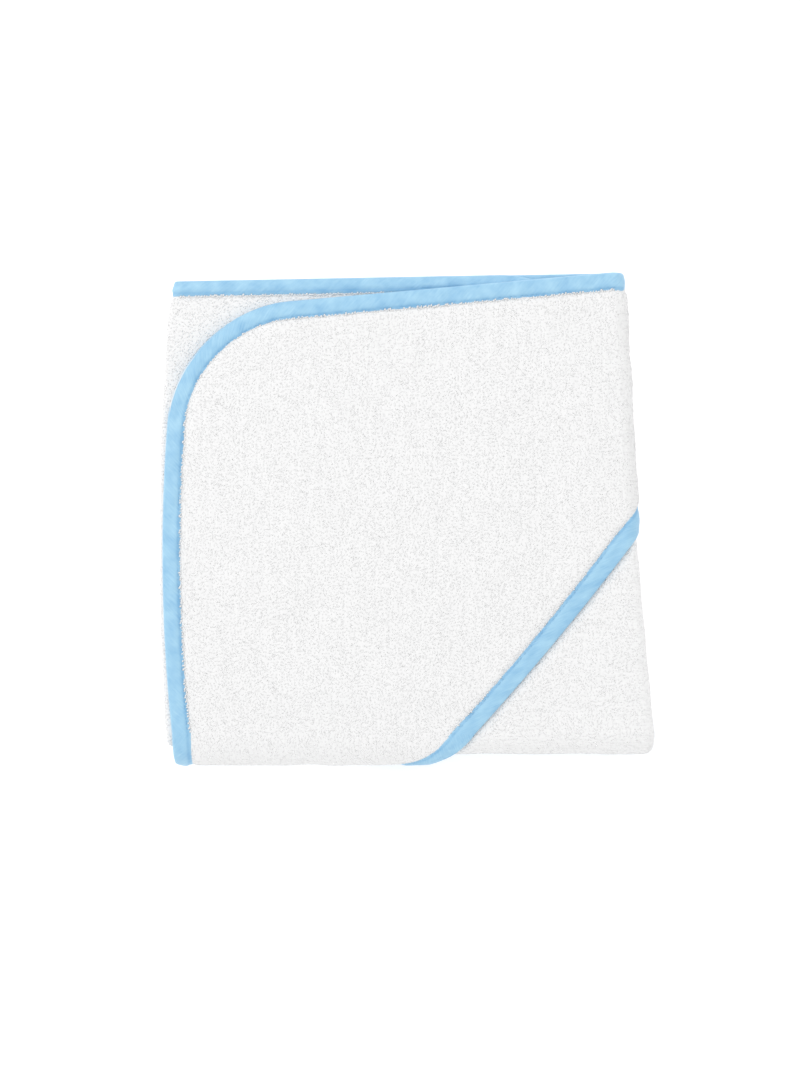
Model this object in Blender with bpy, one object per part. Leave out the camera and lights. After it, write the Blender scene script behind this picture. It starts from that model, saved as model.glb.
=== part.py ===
"""A hooded baby towel of cotton terry with a satin bias binding, folded in thirds across and in thirds down.

The towel lies flat with its hooded corner on top, at the left and the far end. It was first folded in
thirds across, which gives a strip of three layers, and the strip was then folded in thirds like a zigzag.
The upper and the middle third of that strip swing open about the two cross folds. Metres, +Z up, +Y away
from the near fold, and the origin under the middle of the stack.
"""

import math

import bmesh
import bpy

MM = 0.001

# Cloth and binding
TERRY = 1.6 * MM
HOOD_TERRY = 1.2 * MM
CLEARANCE = 0.25 * MM
TAPE_WIDTH = 10.2 * MM
TAPE_PLY = 0.35 * MM
TAPE_NOSE = 0.8 * MM
EDGE_HOLD = TAPE_PLY + 2 * CLEARANCE
THREAD_RADIUS = 0.2 * MM
STITCH_INSET = 1.6 * MM
TAPE_THICK = TERRY + 2 * (CLEARANCE + TAPE_PLY)
HOOD_TAPE_THICK = HOOD_TERRY + 2 * (CLEARANCE + TAPE_PLY)

# Stack of layers: back panel, side panel and front panel in each third
PITCH = TAPE_THICK + CLEARANCE
THIRD_THICK = TERRY + 2 * PITCH
THIRD_GAP = 4.3 * MM
OVERHANG = (TAPE_THICK - TERRY) / 2
BACK = TERRY / 2
SIDE = BACK + PITCH
FRONT = BACK + 2 * PITCH
HOOD = FRONT + TERRY / 2 + CLEARANCE + HOOD_TAPE_THICK / 2
LOWER_Z = OVERHANG
MIDDLE_Z = LOWER_Z + THIRD_THICK + THIRD_GAP
UPPER_Z = MIDDLE_Z + THIRD_THICK + THIRD_GAP

# Plan of the folded towel
NEAR_FOLD_Y = -113.4 * MM
FAR_FOLD_Y = 113.4 * MM
NEAR_FOLD_Z = UPPER_Z - THIRD_GAP / 2
FAR_FOLD_Z = MIDDLE_Z - THIRD_GAP / 2
LOWER_END_Y = -119 * MM
TOP_RIGHT_Y = 131.5 * MM
TOP_RIGHT_X = 109 * MM
FRONT_TOP_SLOPE = 0.0893
BACK_TOP_SLOPE = 0.0194
CORNER_RADIUS = 58 * MM
SIDE_EDGE_INSET = 2 * MM
LOWER_LAYERS_INSET = 1.5 * MM
RIGHT_FOLD_X = (126.6 * MM, 117 * MM, 108.5 * MM)
LEFT_FOLD_X = (-126 * MM, -129.3 * MM, -123.2 * MM)
FRONT_EDGE_X = (-125.2 * MM, -130.3 * MM, -118.2 * MM)
PLAN_Y = (-114 * MM, -10 * MM, 131 * MM)
HOOD_SLACK = 0.36

# Hood: its bound edge runs from the right fold to the near fold, then on round both folds
HOOD_EDGE_X = 76.8 * MM
HOOD_EDGE_Y = -66.3 * MM
HOOD_EDGE_SLOPE = 1.2

HOOD_EDGE_SKEW = math.hypot(1, HOOD_EDGE_SLOPE) / HOOD_EDGE_SLOPE
HOOD_PAST_FOLD_X = -18 * MM
HOOD_TIP = 4 * MM
HOOD_LEAVES_TAPE = 0.3
HOOD_TURN_Y = (-18 * MM, 24 * MM)

# Numbers of steps along each stretch
FOLD_STEPS = 8
CORNER_STEPS = 7
LENGTH_STEPS = 5
CROSS_FOLD_STEPS = 10
HOOD_STEPS = 4
HOOD_TURN_STEPS = 36
HOOD_TAPE_SPLITS = 10
EDGE_STEPS = 3
EDGE_TRIES = 6
THREAD_SIDES = 6

TERRY_WHITE = (0.93, 0.93, 0.92, 1)
TAPE_BLUE = (0.42, 0.67, 0.87, 1)
THREAD_BLUE = (0.36, 0.60, 0.82, 1)


def clear_scene():
    for item in list(bpy.data.objects):
        bpy.data.objects.remove(item, do_unlink=True)


def material(name, colour, roughness):
    made = bpy.data.materials.new(name)
    made.use_nodes = True
    shader = made.node_tree.nodes["Principled BSDF"]
    shader.inputs["Base Color"].default_value = colour
    shader.inputs["Roughness"].default_value = roughness
    shader.inputs["Metallic"].default_value = 0
    return made


def through(values, y):
    """A smooth plan line: the parabola with these x at the three places of PLAN_Y."""
    a, b, c = PLAN_Y
    near = (y - b) * (y - c) / ((a - b) * (a - c))
    middle = (y - a) * (y - c) / ((b - a) * (b - c))
    far = (y - a) * (y - b) / ((c - a) * (c - b))
    return values[0] * near + values[1] * middle + values[2] * far


class Third:
    """One third of the strip, which lies between a cross fold and its other end."""

    def __init__(self, z, flipped, start_y, end_y, inset):
        self.z = z
        self.flipped = flipped
        self.start_y = start_y
        self.end_y = end_y
        self.inset = inset
        self.sign = 1 if end_y > start_y else -1

    def world(self, x, y, height):
        level = THIRD_THICK - height if self.flipped else height
        return (x, y, self.z + level)

    def right(self, y):
        return through(RIGHT_FOLD_X, y) - self.inset

    def left(self, y):
        return through(LEFT_FOLD_X, y) + self.inset

    def front_edge(self, y):
        return through(FRONT_EDGE_X, y) + self.inset

    def side_edge(self, y):
        return self.right(y) - SIDE_EDGE_INSET

    def front_end(self, x):
        return self.end_y

    def back_end(self, x):
        return self.end_y


class UpperThird(Third):
    """The hooded third: its front panel was folded over a little askew, so its far edge slopes."""

    def front_end(self, x):
        return TOP_RIGHT_Y - max(TOP_RIGHT_X - x, 0) * FRONT_TOP_SLOPE

    def back_end(self, x):
        return TOP_RIGHT_Y - max(TOP_RIGHT_X - x, 0) * BACK_TOP_SLOPE


UPPER = UpperThird(UPPER_Z, False, NEAR_FOLD_Y, TOP_RIGHT_Y, 0)
MIDDLE = Third(MIDDLE_Z, True, NEAR_FOLD_Y, FAR_FOLD_Y, LOWER_LAYERS_INSET)
LOWER = Third(LOWER_Z, False, FAR_FOLD_Y, LOWER_END_Y, LOWER_LAYERS_INSET)


def near_fold(x, angle, height):
    """A point on the cross fold between the upper and the middle third. The hood bellies out there."""
    radius = THIRD_GAP / 2 + height
    slack = 1 + HOOD_SLACK * min(max((height - FRONT) / (HOOD - FRONT), 0), 1)
    y = NEAR_FOLD_Y - CLEARANCE / 2 - radius * slack * math.sin(angle)
    return (x, y, NEAR_FOLD_Z + radius * math.cos(angle))


def far_fold(x, angle, height):
    """A point on the cross fold between the middle and the lower third."""
    radius = THIRD_GAP / 2 + THIRD_THICK - height
    y = FAR_FOLD_Y + CLEARANCE / 2 + radius * math.sin(angle)
    return (x, y, FAR_FOLD_Z + radius * math.cos(angle))


def solid(name, rings, made_of):
    """One closed body through rings of points. A ring runs up one face of the cloth and down the other."""
    mesh = bpy.data.meshes.new(name)
    shape = bmesh.new()
    placed = [[shape.verts.new(point) for point in ring] for ring in rings]
    count = len(rings[0])
    for first, second in zip(placed, placed[1:]):
        for i in range(count):
            j = (i + 1) % count
            shape.faces.new((first[i], first[j], second[j], second[i]))
    for ring in (placed[0], placed[-1]):
        for i in range(count // 2 - 1):
            shape.faces.new((ring[i], ring[i + 1], ring[count - 2 - i], ring[count - 1 - i]))
    bmesh.ops.recalc_face_normals(shape, faces=shape.faces)
    shape.to_mesh(mesh)
    shape.free()
    mesh.materials.append(made_of)
    mesh.shade_smooth()
    mesh.set_sharp_from_angle(angle=math.radians(40))
    item = bpy.data.objects.new(name, mesh)
    bpy.context.scene.collection.objects.link(item)
    return item


def spaced(first, last, steps):
    return [first + (last - first) * i / steps for i in range(steps + 1)]


def corner_drop(offset):
    """How far the rounded corner falls short of the square one, at this distance from the side edge."""
    if offset >= CORNER_RADIUS:
        return 0
    return CORNER_RADIUS - math.sqrt(CORNER_RADIUS**2 - (CORNER_RADIUS - offset) ** 2)


def corner_offsets():
    return [CORNER_RADIUS * (1 - math.cos(a)) for a in spaced(0, math.pi / 2, CORNER_STEPS)]


def side_offsets(free_end):
    """Distances from a side edge to cut the cloth at: close together where it has a rounded corner."""
    return corner_offsets() if free_end else [0, CORNER_RADIUS]


def terry_ring(third, across, height, normal, end, thick):
    """Both faces of the terry along the strip at one place across it."""
    sign = third.sign
    start = third.start_y + sign * CLEARANCE / 2
    outer = []
    inner = []
    for y in spaced(start, end, LENGTH_STEPS):
        x = across(y)
        outer.append(third.world(x + normal[0] * thick / 2, y, height + normal[1] * thick / 2))
        inner.append(third.world(x - normal[0] * thick / 2, y, height - normal[1] * thick / 2))
    return outer + inner[::-1]


def right_arc(third, radius, angle):
    return lambda y: third.right(y) + radius * math.cos(angle)


def left_arc(third, radius, angle):
    return lambda y: third.left(y) + radius * math.cos(angle)


def terry_third(name, third, free_end, made_of):
    """The strip's three layers as one cloth: front panel, right fold, back panel, left fold, side panel."""
    sign = third.sign
    trim = sign * EDGE_HOLD if free_end else sign * CLEARANCE / 2
    rings = []
    for offset in side_offsets(free_end):
        shift = offset + EDGE_HOLD
        end = third.front_end(third.front_edge(third.end_y) + shift) - trim
        if free_end:
            end -= sign * corner_drop(offset)
        across = lambda y, shift=shift: third.front_edge(y) + shift
        rings.append(terry_ring(third, across, FRONT, (0, 1), end, TERRY))
    for angle in spaced(math.pi / 2, -math.pi / 2, FOLD_STEPS):
        normal = (math.cos(angle), math.sin(angle))
        end = third.front_end(TOP_RIGHT_X) - trim
        across = right_arc(third, PITCH, angle)
        height = SIDE + PITCH * math.sin(angle)
        rings.append(terry_ring(third, across, height, normal, end, TERRY))
    for angle in spaced(-math.pi / 2, -3 * math.pi / 2, FOLD_STEPS):
        normal = (math.cos(angle), math.sin(angle))
        end = third.back_end(third.left(third.end_y)) - trim
        middle = (BACK + SIDE) / 2
        across = left_arc(third, PITCH / 2, angle)
        height = middle + PITCH / 2 * math.sin(angle)
        rings.append(terry_ring(third, across, height, normal, end, TERRY))
    for offset in side_offsets(free_end)[::-1]:
        shift = offset + EDGE_HOLD
        end = third.back_end(third.side_edge(third.end_y) - shift) - trim
        if free_end:
            end -= sign * corner_drop(offset)
        across = lambda y, shift=shift: third.side_edge(y) - shift
        rings.append(terry_ring(third, across, SIDE, (0, 1), end, TERRY))
    return solid(name, rings, made_of)


def tape_profile(below, above, splits=1):
    """The folded tape as (inward, along the normal) pairs: its outer face, then its inner face back."""
    nose = TAPE_NOSE
    ply = TAPE_PLY
    flat = spaced(TAPE_WIDTH, nose, splits)
    outer = [(across, above) for across in flat]
    outer += [(0, above - nose), (0, nose - below)]
    outer += [(across, -below) for across in flat[::-1]]
    inner = [(across, above - ply) for across in flat]
    inner += [(ply, above - nose), (ply, nose - below)]
    inner += [(across, ply - below) for across in flat[::-1]]
    return outer + inner[::-1]


def into_cloth(points, sign):
    """The direction into the cloth at each of these plan points, with the cloth on the right of the run."""
    found = []
    for i in range(len(points)):
        a = points[max(i - 1, 0)]
        b = points[min(i + 1, len(points) - 1)]
        length = sign * math.hypot(b[0] - a[0], b[1] - a[1])
        found.append(((b[1] - a[1]) / length, -(b[0] - a[0]) / length))
    return found


def front_run(third):
    """The front panel's bound edge, from the cross fold round the corner to the right fold, as pairs of a
    plan point and the direction into the cloth there."""
    sign = third.sign
    corner_start = third.front_end(third.front_edge(third.end_y)) - sign * CORNER_RADIUS
    points = []
    for y in spaced(third.start_y + sign * CLEARANCE / 2, corner_start, LENGTH_STEPS)[:-1]:
        points.append((third.front_edge(y), y))
    for offset in corner_offsets():
        x = third.front_edge(corner_start + sign * (CORNER_RADIUS - corner_drop(offset))) + offset
        points.append((x, third.front_end(x) - sign * corner_drop(offset)))
    right = third.right(third.front_end(TOP_RIGHT_X))
    for x in spaced(points[-1][0], right, EDGE_STEPS)[1:]:
        points.append((x, third.front_end(x)))
    return list(zip(points, [(1, 0)] + into_cloth(points, sign)[1:]))


def side_run(third):
    """The side panel's bound edge, from the left fold round its corner to the cross fold, in such pairs."""
    sign = third.sign
    last = third.side_edge(third.end_y)
    left = third.left(third.back_end(third.left(third.end_y)))
    points = []
    for x in spaced(left, last - CORNER_RADIUS, EDGE_STEPS)[:-1]:
        points.append((x, third.back_end(x)))
    corner_start = third.back_end(last) - sign * CORNER_RADIUS
    for offset in corner_offsets()[::-1]:
        y = corner_start + sign * (CORNER_RADIUS - corner_drop(offset))
        x = third.side_edge(y) - offset
        points.append((x, third.back_end(x) - sign * corner_drop(offset)))
    for y in spaced(corner_start, third.start_y + sign * CLEARANCE / 2, LENGTH_STEPS)[1:]:
        points.append((third.side_edge(y), y))
    return list(zip(points, into_cloth(points, sign)[:-1] + [(-1, 0)]))


def tape_ring(third, at, inward, height, normal, profile, fold_line=None):
    """The tape's section at one place. At a fold across the strip it keeps to the line of that fold."""
    ring = []
    for across, along in profile:
        x = at[0] + inward[0] * across + normal[0] * along
        y = at[1] + inward[1] * across
        if fold_line:
            x += fold_line(y) - fold_line(at[1])
        ring.append(third.world(x, y, height + normal[1] * along))
    return ring


def edge_tape(name, third, over_hood, made_of):
    """The binding of a third with a free end: one tape round the front, back and side panels' edges."""
    sign = third.sign
    half = TAPE_THICK / 2
    hooded = HOOD - FRONT + HOOD_TAPE_THICK / 2
    plain = tape_profile(half, half)
    front = tape_profile(half, hooded) if over_hood else plain
    rings = []
    for at, inward in front_run(third):
        rings.append(tape_ring(third, at, inward, FRONT, (0, 1), front))
    end = at
    for angle in spaced(math.pi / 2, -math.pi / 2, FOLD_STEPS)[1:]:
        at = (end[0] + PITCH * math.cos(angle), end[1])
        height = SIDE + PITCH * math.sin(angle)
        normal = (math.cos(angle), math.sin(angle))
        held = front if angle > 0 else plain
        rings.append(tape_ring(third, at, (0, -sign), height, normal, held, third.right))
    sections = side_run(third)
    start = sections[0][0]
    middle = (BACK + SIDE) / 2
    for angle in spaced(-math.pi / 2, -3 * math.pi / 2, FOLD_STEPS):
        at = (start[0] + PITCH / 2 * math.cos(angle), start[1])
        height = middle + PITCH / 2 * math.sin(angle)
        normal = (math.cos(angle), math.sin(angle))
        rings.append(tape_ring(third, at, (0, -sign), height, normal, plain, third.left))
    for at, inward in sections[1:]:
        rings.append(tape_ring(third, at, inward, SIDE, (0, 1), plain))
    return solid(name, rings, made_of)


def straight_tape(name, third, edge, into, height, profile, made_of):
    """The binding, or its stitching, along one side edge of the middle third."""
    rings = []
    first = third.start_y + CLEARANCE / 2
    for y in spaced(first, third.end_y - CLEARANCE / 2, LENGTH_STEPS):
        rings.append(tape_ring(third, (edge(y), y), (into, 0), height, (0, 1), profile))
    return solid(name, rings, made_of)


def fold_terry(name, fold, left, right, height, thick, made_of):
    """A layer of terry as it turns round a cross fold, between a straight side and one that may run askew."""
    rings = []
    for angle in spaced(0, math.pi, CROSS_FOLD_STEPS):
        x_left = left
        x_right = right(angle) if callable(right) else right
        outer = [fold(x, angle, height + thick / 2) for x in (x_left, x_right)]
        inner = [fold(x, angle, height - thick / 2) for x in (x_right, x_left)]
        rings.append(outer + inner)
    return solid(name, rings, made_of)


def fold_tape(name, fold, edge, into, height, profile, made_of):
    """The binding as it turns round a cross fold with the cloth that it holds."""
    rings = []
    for angle in spaced(0, math.pi, CROSS_FOLD_STEPS):
        x = edge(angle) if callable(edge) else edge
        rings.append([fold(x + into * across, angle, height + along) for across, along in profile])
    return solid(name, rings, made_of)


def thread_profile(height):
    """A row of stitching as one thread that lies on the tape, near the tape's inner edge."""
    across = TAPE_WIDTH - STITCH_INSET
    along = height + CLEARANCE + THREAD_RADIUS
    ring = []
    for i in range(THREAD_SIDES):
        angle = 2 * math.pi * (i + 0.5) / THREAD_SIDES
        x = across + THREAD_RADIUS * math.cos(angle)
        ring.append((x, along + THREAD_RADIUS * math.sin(angle)))
    return ring


def front_stitching(name, third, above, made_of):
    """The stitching that shows along the front panel's binding."""
    profile = thread_profile(above)
    rings = [tape_ring(third, at, inward, FRONT, (0, 1), profile) for at, inward in front_run(third)]
    return solid(name, rings, made_of)


def hood_edge_x(y):
    """Where the hood's edge would be at this y if the front panel ran on flat past the right fold."""
    return HOOD_EDGE_X + (y - HOOD_EDGE_Y) / HOOD_EDGE_SLOPE


def hood_point(along_strip, y, height):
    """A point of the hood. along_strip counts from the right fold, over it and on under the back panel."""
    radius = HOOD - SIDE
    out = height - HOOD
    right = UPPER.right(y)
    if along_strip <= 0:
        return UPPER.world(right + along_strip, y, HOOD + out)
    angle = math.pi / 2 - along_strip / radius
    if angle > -math.pi / 2:
        x = right + (radius + out) * math.cos(angle)
        return UPPER.world(x, y, SIDE + (radius + out) * math.sin(angle))
    past = along_strip - math.pi * radius
    return UPPER.world(right - past, y, 2 * SIDE - HOOD - out)


def hood_low_y(along_strip, trim):
    """The y of the hood's slanting edge at this place across the strip, or of the near fold if farther."""
    y = NEAR_FOLD_Y
    for _ in range(EDGE_TRIES):
        x = UPPER.right(y) + along_strip
        y = HOOD_EDGE_Y + (x - HOOD_EDGE_X) * HOOD_EDGE_SLOPE + trim
    return max(y, NEAR_FOLD_Y + CLEARANCE / 2)


def upper_hood_panel(name, made_of):
    """The hood over the front panel: it turns round the right fold and ends in a point under the back."""
    trim = EDGE_HOLD * HOOD_EDGE_SKEW * HOOD_EDGE_SLOPE
    radius = HOOD - SIDE
    half_turn = math.pi * radius
    rings = []

    def ring_at(place, low, high):
        ys = spaced(low, high, LENGTH_STEPS)
        outer = [hood_point(place(y), y, HOOD + HOOD_TERRY / 2) for y in ys]
        inner = [hood_point(place(y), y, HOOD - HOOD_TERRY / 2) for y in ys]
        rings.append(outer + inner[::-1])

    for offset in corner_offsets():
        shift = offset + EDGE_HOLD
        place = lambda y, shift=shift: UPPER.front_edge(y) + shift - UPPER.right(y)
        x = UPPER.front_edge(UPPER.end_y) + shift
        high = UPPER.front_end(x) - EDGE_HOLD - corner_drop(offset)
        ring_at(place, UPPER.start_y + CLEARANCE / 2, high)
    flat_start = hood_edge_x(NEAR_FOLD_Y) - UPPER.right(NEAR_FOLD_Y) - trim / HOOD_EDGE_SLOPE
    for s in spaced(flat_start, 0, HOOD_STEPS):
        high = UPPER.front_end(UPPER.right(UPPER.end_y) + s) - EDGE_HOLD
        ring_at(lambda y, s=s: s, hood_low_y(s, trim), high)
    under_tape = UPPER.front_end(TOP_RIGHT_X) - TAPE_WIDTH - 2 * CLEARANCE
    for s in spaced(0, half_turn, FOLD_STEPS)[1:]:
        inside_tape = s < half_turn * HOOD_LEAVES_TAPE
        high = UPPER.front_end(TOP_RIGHT_X) - EDGE_HOLD if inside_tape else under_tape
        ring_at(lambda y, s=s: s, hood_low_y(s, trim), high)
    tip = (under_tape - HOOD_TIP - hood_low_y(half_turn, trim)) / HOOD_EDGE_SLOPE
    for past in spaced(0, tip, HOOD_STEPS)[1:]:
        s = half_turn + past
        low = hood_low_y(half_turn, trim) + past * HOOD_EDGE_SLOPE
        ring_at(lambda y, s=s: s, low, under_tape - BACK_TOP_SLOPE * past)
    return solid(name, rings, made_of)


def upper_hood_edge(name, profile, first_y, last_y, made_of):
    """What runs along the hood's slanting edge: sections across the towel, skewed to suit the slant, and
    close together where it turns round the right fold."""
    turn_start, turn_end = HOOD_TURN_Y
    ys = spaced(first_y, min(turn_start, last_y), EDGE_STEPS)
    if last_y > turn_end:
        ys += spaced(turn_start, turn_end, HOOD_TURN_STEPS)[1:]
        ys += spaced(turn_end, last_y, EDGE_STEPS)[1:]
    rings = []
    for y in ys:
        edge = hood_edge_x(y) - UPPER.right(y)
        ring = []
        for across, along in profile:
            ring.append(hood_point(edge - across * HOOD_EDGE_SKEW, y, HOOD + along))
        rings.append(ring)
    return solid(name, rings, made_of)


def middle_hood_edge_x(y):
    """The hood's edge on the middle third, which starts where the near fold lets go of it."""
    return HOOD_PAST_FOLD_X - (y - NEAR_FOLD_Y) / HOOD_EDGE_SLOPE


def middle_hood_panel(name, made_of):
    """The hood's other point, on the front panel of the middle third."""
    trim = EDGE_HOLD * HOOD_EDGE_SKEW
    low = NEAR_FOLD_Y + CLEARANCE / 2
    first = MIDDLE.front_edge(low) + TAPE_WIDTH + 2 * CLEARANCE
    last = HOOD_PAST_FOLD_X - trim - HOOD_TIP
    rings = []
    for x in spaced(first, last, HOOD_STEPS):
        high = NEAR_FOLD_Y + (HOOD_PAST_FOLD_X - trim - x) * HOOD_EDGE_SLOPE
        outer = [MIDDLE.world(x, y, HOOD + HOOD_TERRY / 2) for y in (low, high)]
        inner = [MIDDLE.world(x, y, HOOD - HOOD_TERRY / 2) for y in (high, low)]
        rings.append(outer + inner)
    return solid(name, rings, made_of)


def middle_hood_edge(name, profile, made_of):
    low = NEAR_FOLD_Y + CLEARANCE / 2
    reach = MIDDLE.front_edge(0) + TAPE_WIDTH * (1 + HOOD_EDGE_SKEW) + 3 * CLEARANCE
    high = NEAR_FOLD_Y + (HOOD_PAST_FOLD_X - reach) * HOOD_EDGE_SLOPE
    rings = []
    for y in (low, high):
        edge = middle_hood_edge_x(y)
        ring = []
        for across, along in profile:
            ring.append(MIDDLE.world(edge - across * HOOD_EDGE_SKEW, y, HOOD + along))
        rings.append(ring)
    return solid(name, rings, made_of)


def hood_edge_round_fold(angle):
    """The x of the hood's edge as it turns round the near fold."""
    start = hood_edge_x(NEAR_FOLD_Y)
    return start + (HOOD_PAST_FOLD_X - start) * angle / math.pi


clear_scene()
terry = material("terry", TERRY_WHITE, 0.95)
hood_terry = material("hood_terry", TERRY_WHITE, 0.95)
tape = material("binding_tape", TAPE_BLUE, 0.45)
hood_tape = material("hood_tape", TAPE_BLUE, 0.45)
thread = material("thread", THREAD_BLUE, 0.5)

half = TAPE_THICK / 2
hooded = HOOD - FRONT + HOOD_TAPE_THICK / 2
hood_half = HOOD_TAPE_THICK / 2
plain_profile = tape_profile(half, half)
hooded_profile = tape_profile(half, hooded)
hood_profile = tape_profile(hood_half, hood_half)

# The towel itself, third by third
terry_third("upper_third_terry", UPPER, True, terry)
terry_third("middle_third_terry", MIDDLE, False, terry)
terry_third("lower_third_terry", LOWER, True, terry)

# The binding round its outer edge, and the stitching that holds it
edge_tape("upper_edge_binding", UPPER, True, tape)
edge_tape("lower_edge_binding", LOWER, False, tape)
straight_tape("middle_front_binding", MIDDLE, MIDDLE.front_edge, 1, FRONT, plain_profile, tape)
straight_tape("middle_side_binding", MIDDLE, MIDDLE.side_edge, -1, SIDE, plain_profile, tape)
front_stitching("upper_edge_stitching", UPPER, hooded, thread)
front_stitching("lower_edge_stitching", LOWER, half, thread)
straight_tape("middle_edge_stitching", MIDDLE, MIDDLE.front_edge, 1, FRONT, thread_profile(half), thread)

# The hood, a second layer of terry on the front, with its own binding and stitching
hood_start = NEAR_FOLD_Y + CLEARANCE / 2
hood_end = UPPER.back_end(0) - TAPE_WIDTH - 3 * CLEARANCE
upper_hood_panel("upper_hood_terry", hood_terry)
hood_turn_profile = tape_profile(hood_half, hood_half, HOOD_TAPE_SPLITS)
upper_hood_edge("upper_hood_binding", hood_turn_profile, hood_start, hood_end, hood_tape)
upper_hood_edge("upper_hood_stitching", thread_profile(hood_half), hood_start, HOOD_TURN_Y[0], thread)
middle_hood_panel("middle_hood_terry", hood_terry)
middle_hood_edge("middle_hood_binding", hood_profile, hood_tape)

# The near cross fold, from the upper third round to the middle third
near_left = UPPER.left(NEAR_FOLD_Y)
near_right = MIDDLE.right(NEAR_FOLD_Y)
near_front = MIDDLE.front_edge(NEAR_FOLD_Y)
near_side = MIDDLE.side_edge(NEAR_FOLD_Y)
hood_hold = EDGE_HOLD * HOOD_EDGE_SKEW
fold_terry("near_fold_front_terry", near_fold, near_front + EDGE_HOLD, near_right, FRONT, TERRY, terry)
fold_terry("near_fold_side_terry", near_fold, near_left, near_side - EDGE_HOLD, SIDE, TERRY, terry)
fold_terry("near_fold_back_terry", near_fold, near_left, near_right, BACK, TERRY, terry)
fold_terry(
    "near_fold_hood_terry",
    near_fold,
    near_front + EDGE_HOLD,
    lambda angle: hood_edge_round_fold(angle) - hood_hold,
    HOOD,
    HOOD_TERRY,
    hood_terry,
)
fold_tape("near_fold_front_binding", near_fold, near_front, 1, FRONT, hooded_profile, tape)
fold_tape("near_fold_side_binding", near_fold, near_side, -1, SIDE, plain_profile, tape)
fold_tape(
    "near_fold_hood_binding",
    near_fold,
    hood_edge_round_fold,
    -HOOD_EDGE_SKEW,
    HOOD,
    hood_profile,
    hood_tape,
)

# The far cross fold, from the middle third round to the lower third
far_left = LOWER.left(FAR_FOLD_Y)
far_right = LOWER.right(FAR_FOLD_Y)
far_front = LOWER.front_edge(FAR_FOLD_Y)
far_side = LOWER.side_edge(FAR_FOLD_Y)
fold_terry("far_fold_front_terry", far_fold, far_front + EDGE_HOLD, far_right, FRONT, TERRY, terry)
fold_terry("far_fold_side_terry", far_fold, far_left, far_side - EDGE_HOLD, SIDE, TERRY, terry)
fold_terry("far_fold_back_terry", far_fold, far_left, far_right, BACK, TERRY, terry)
fold_tape("far_fold_front_binding", far_fold, far_front, 1, FRONT, plain_profile, tape)
fold_tape("far_fold_side_binding", far_fold, far_side, -1, SIDE, plain_profile, tape)
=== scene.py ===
"""A hooded baby towel of white cotton terry with a pale blue satin binding, folded flat on a light table.

The sections follow the towel as it is made and folded: the table it lies on, the towel's own cloth, the hood,
the satin bindings, the stitching that holds them, and the loops of the terry. Metres, +Z up.
"""

import math

import bpy
import numpy as np
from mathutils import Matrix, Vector


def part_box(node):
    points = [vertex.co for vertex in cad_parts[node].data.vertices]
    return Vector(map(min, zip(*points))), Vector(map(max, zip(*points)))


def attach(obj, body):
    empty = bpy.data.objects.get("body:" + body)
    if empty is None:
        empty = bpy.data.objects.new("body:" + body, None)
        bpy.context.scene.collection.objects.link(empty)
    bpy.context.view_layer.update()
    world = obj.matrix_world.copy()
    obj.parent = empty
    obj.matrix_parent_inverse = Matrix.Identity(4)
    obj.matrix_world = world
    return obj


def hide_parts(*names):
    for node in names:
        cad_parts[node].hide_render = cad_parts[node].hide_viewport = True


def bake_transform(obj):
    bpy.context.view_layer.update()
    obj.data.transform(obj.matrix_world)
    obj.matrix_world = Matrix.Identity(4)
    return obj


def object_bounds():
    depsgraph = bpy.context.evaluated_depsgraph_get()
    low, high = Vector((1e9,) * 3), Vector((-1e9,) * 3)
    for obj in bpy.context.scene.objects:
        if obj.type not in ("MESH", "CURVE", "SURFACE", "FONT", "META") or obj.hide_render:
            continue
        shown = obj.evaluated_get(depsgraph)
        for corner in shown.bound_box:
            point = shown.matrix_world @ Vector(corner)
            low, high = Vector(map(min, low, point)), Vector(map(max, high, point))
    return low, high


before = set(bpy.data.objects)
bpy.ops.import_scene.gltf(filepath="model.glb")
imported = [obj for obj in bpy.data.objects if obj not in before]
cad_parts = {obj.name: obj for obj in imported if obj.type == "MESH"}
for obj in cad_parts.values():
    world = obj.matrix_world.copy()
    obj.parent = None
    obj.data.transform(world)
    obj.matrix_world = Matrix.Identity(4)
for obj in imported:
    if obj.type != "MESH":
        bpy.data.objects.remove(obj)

MM = 0.001
cad_box = [list(corner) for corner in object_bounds()]

# ---------------------------------------------------------------------------------------------------------
# Light table and camera. The towel is seen from straight above on a white light table, in very even light:
# a large soft panel over the far left corner, a bright room round it, and a table top that glows faintly.

TOWEL_TOP = cad_box[1][2]
VIEW_HEIGHT = 565.5 * MM
VIEW_CENTRE = (-4.2 * MM, -7.2 * MM)
LENS = 120
SENSOR = 36
TABLE_SIZE = 6
TABLE_WHITE = (0.95, 0.95, 0.95, 1)
TABLE_GLOW = 0.25
ROOM_LIGHT = 0.97
PANEL_SIZE = 1.6
PANEL_PLACE = (-0.9, 0.9, 1.9)
PANEL_WATTS = 14


def add(tree, kind, settings=None, **sockets):
    """Adds a node to a tree, with its settings and with the values or links of its sockets."""
    made = tree.nodes.new(kind)
    for setting, value in (settings or {}).items():
        setattr(made, setting, value)
    for socket, value in sockets.items():
        number = socket.lstrip("_")
        taken = made.inputs[int(number) if number.isdigit() else socket.replace("_", " ")]
        if isinstance(value, bpy.types.NodeSocket):
            tree.links.new(value, taken)
        else:
            taken.default_value = value
    return made


def put(name, data):
    """A new object in the scene, with this mesh, light or camera."""
    item = bpy.data.objects.new(name, data)
    bpy.context.scene.collection.objects.link(item)
    return item


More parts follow.
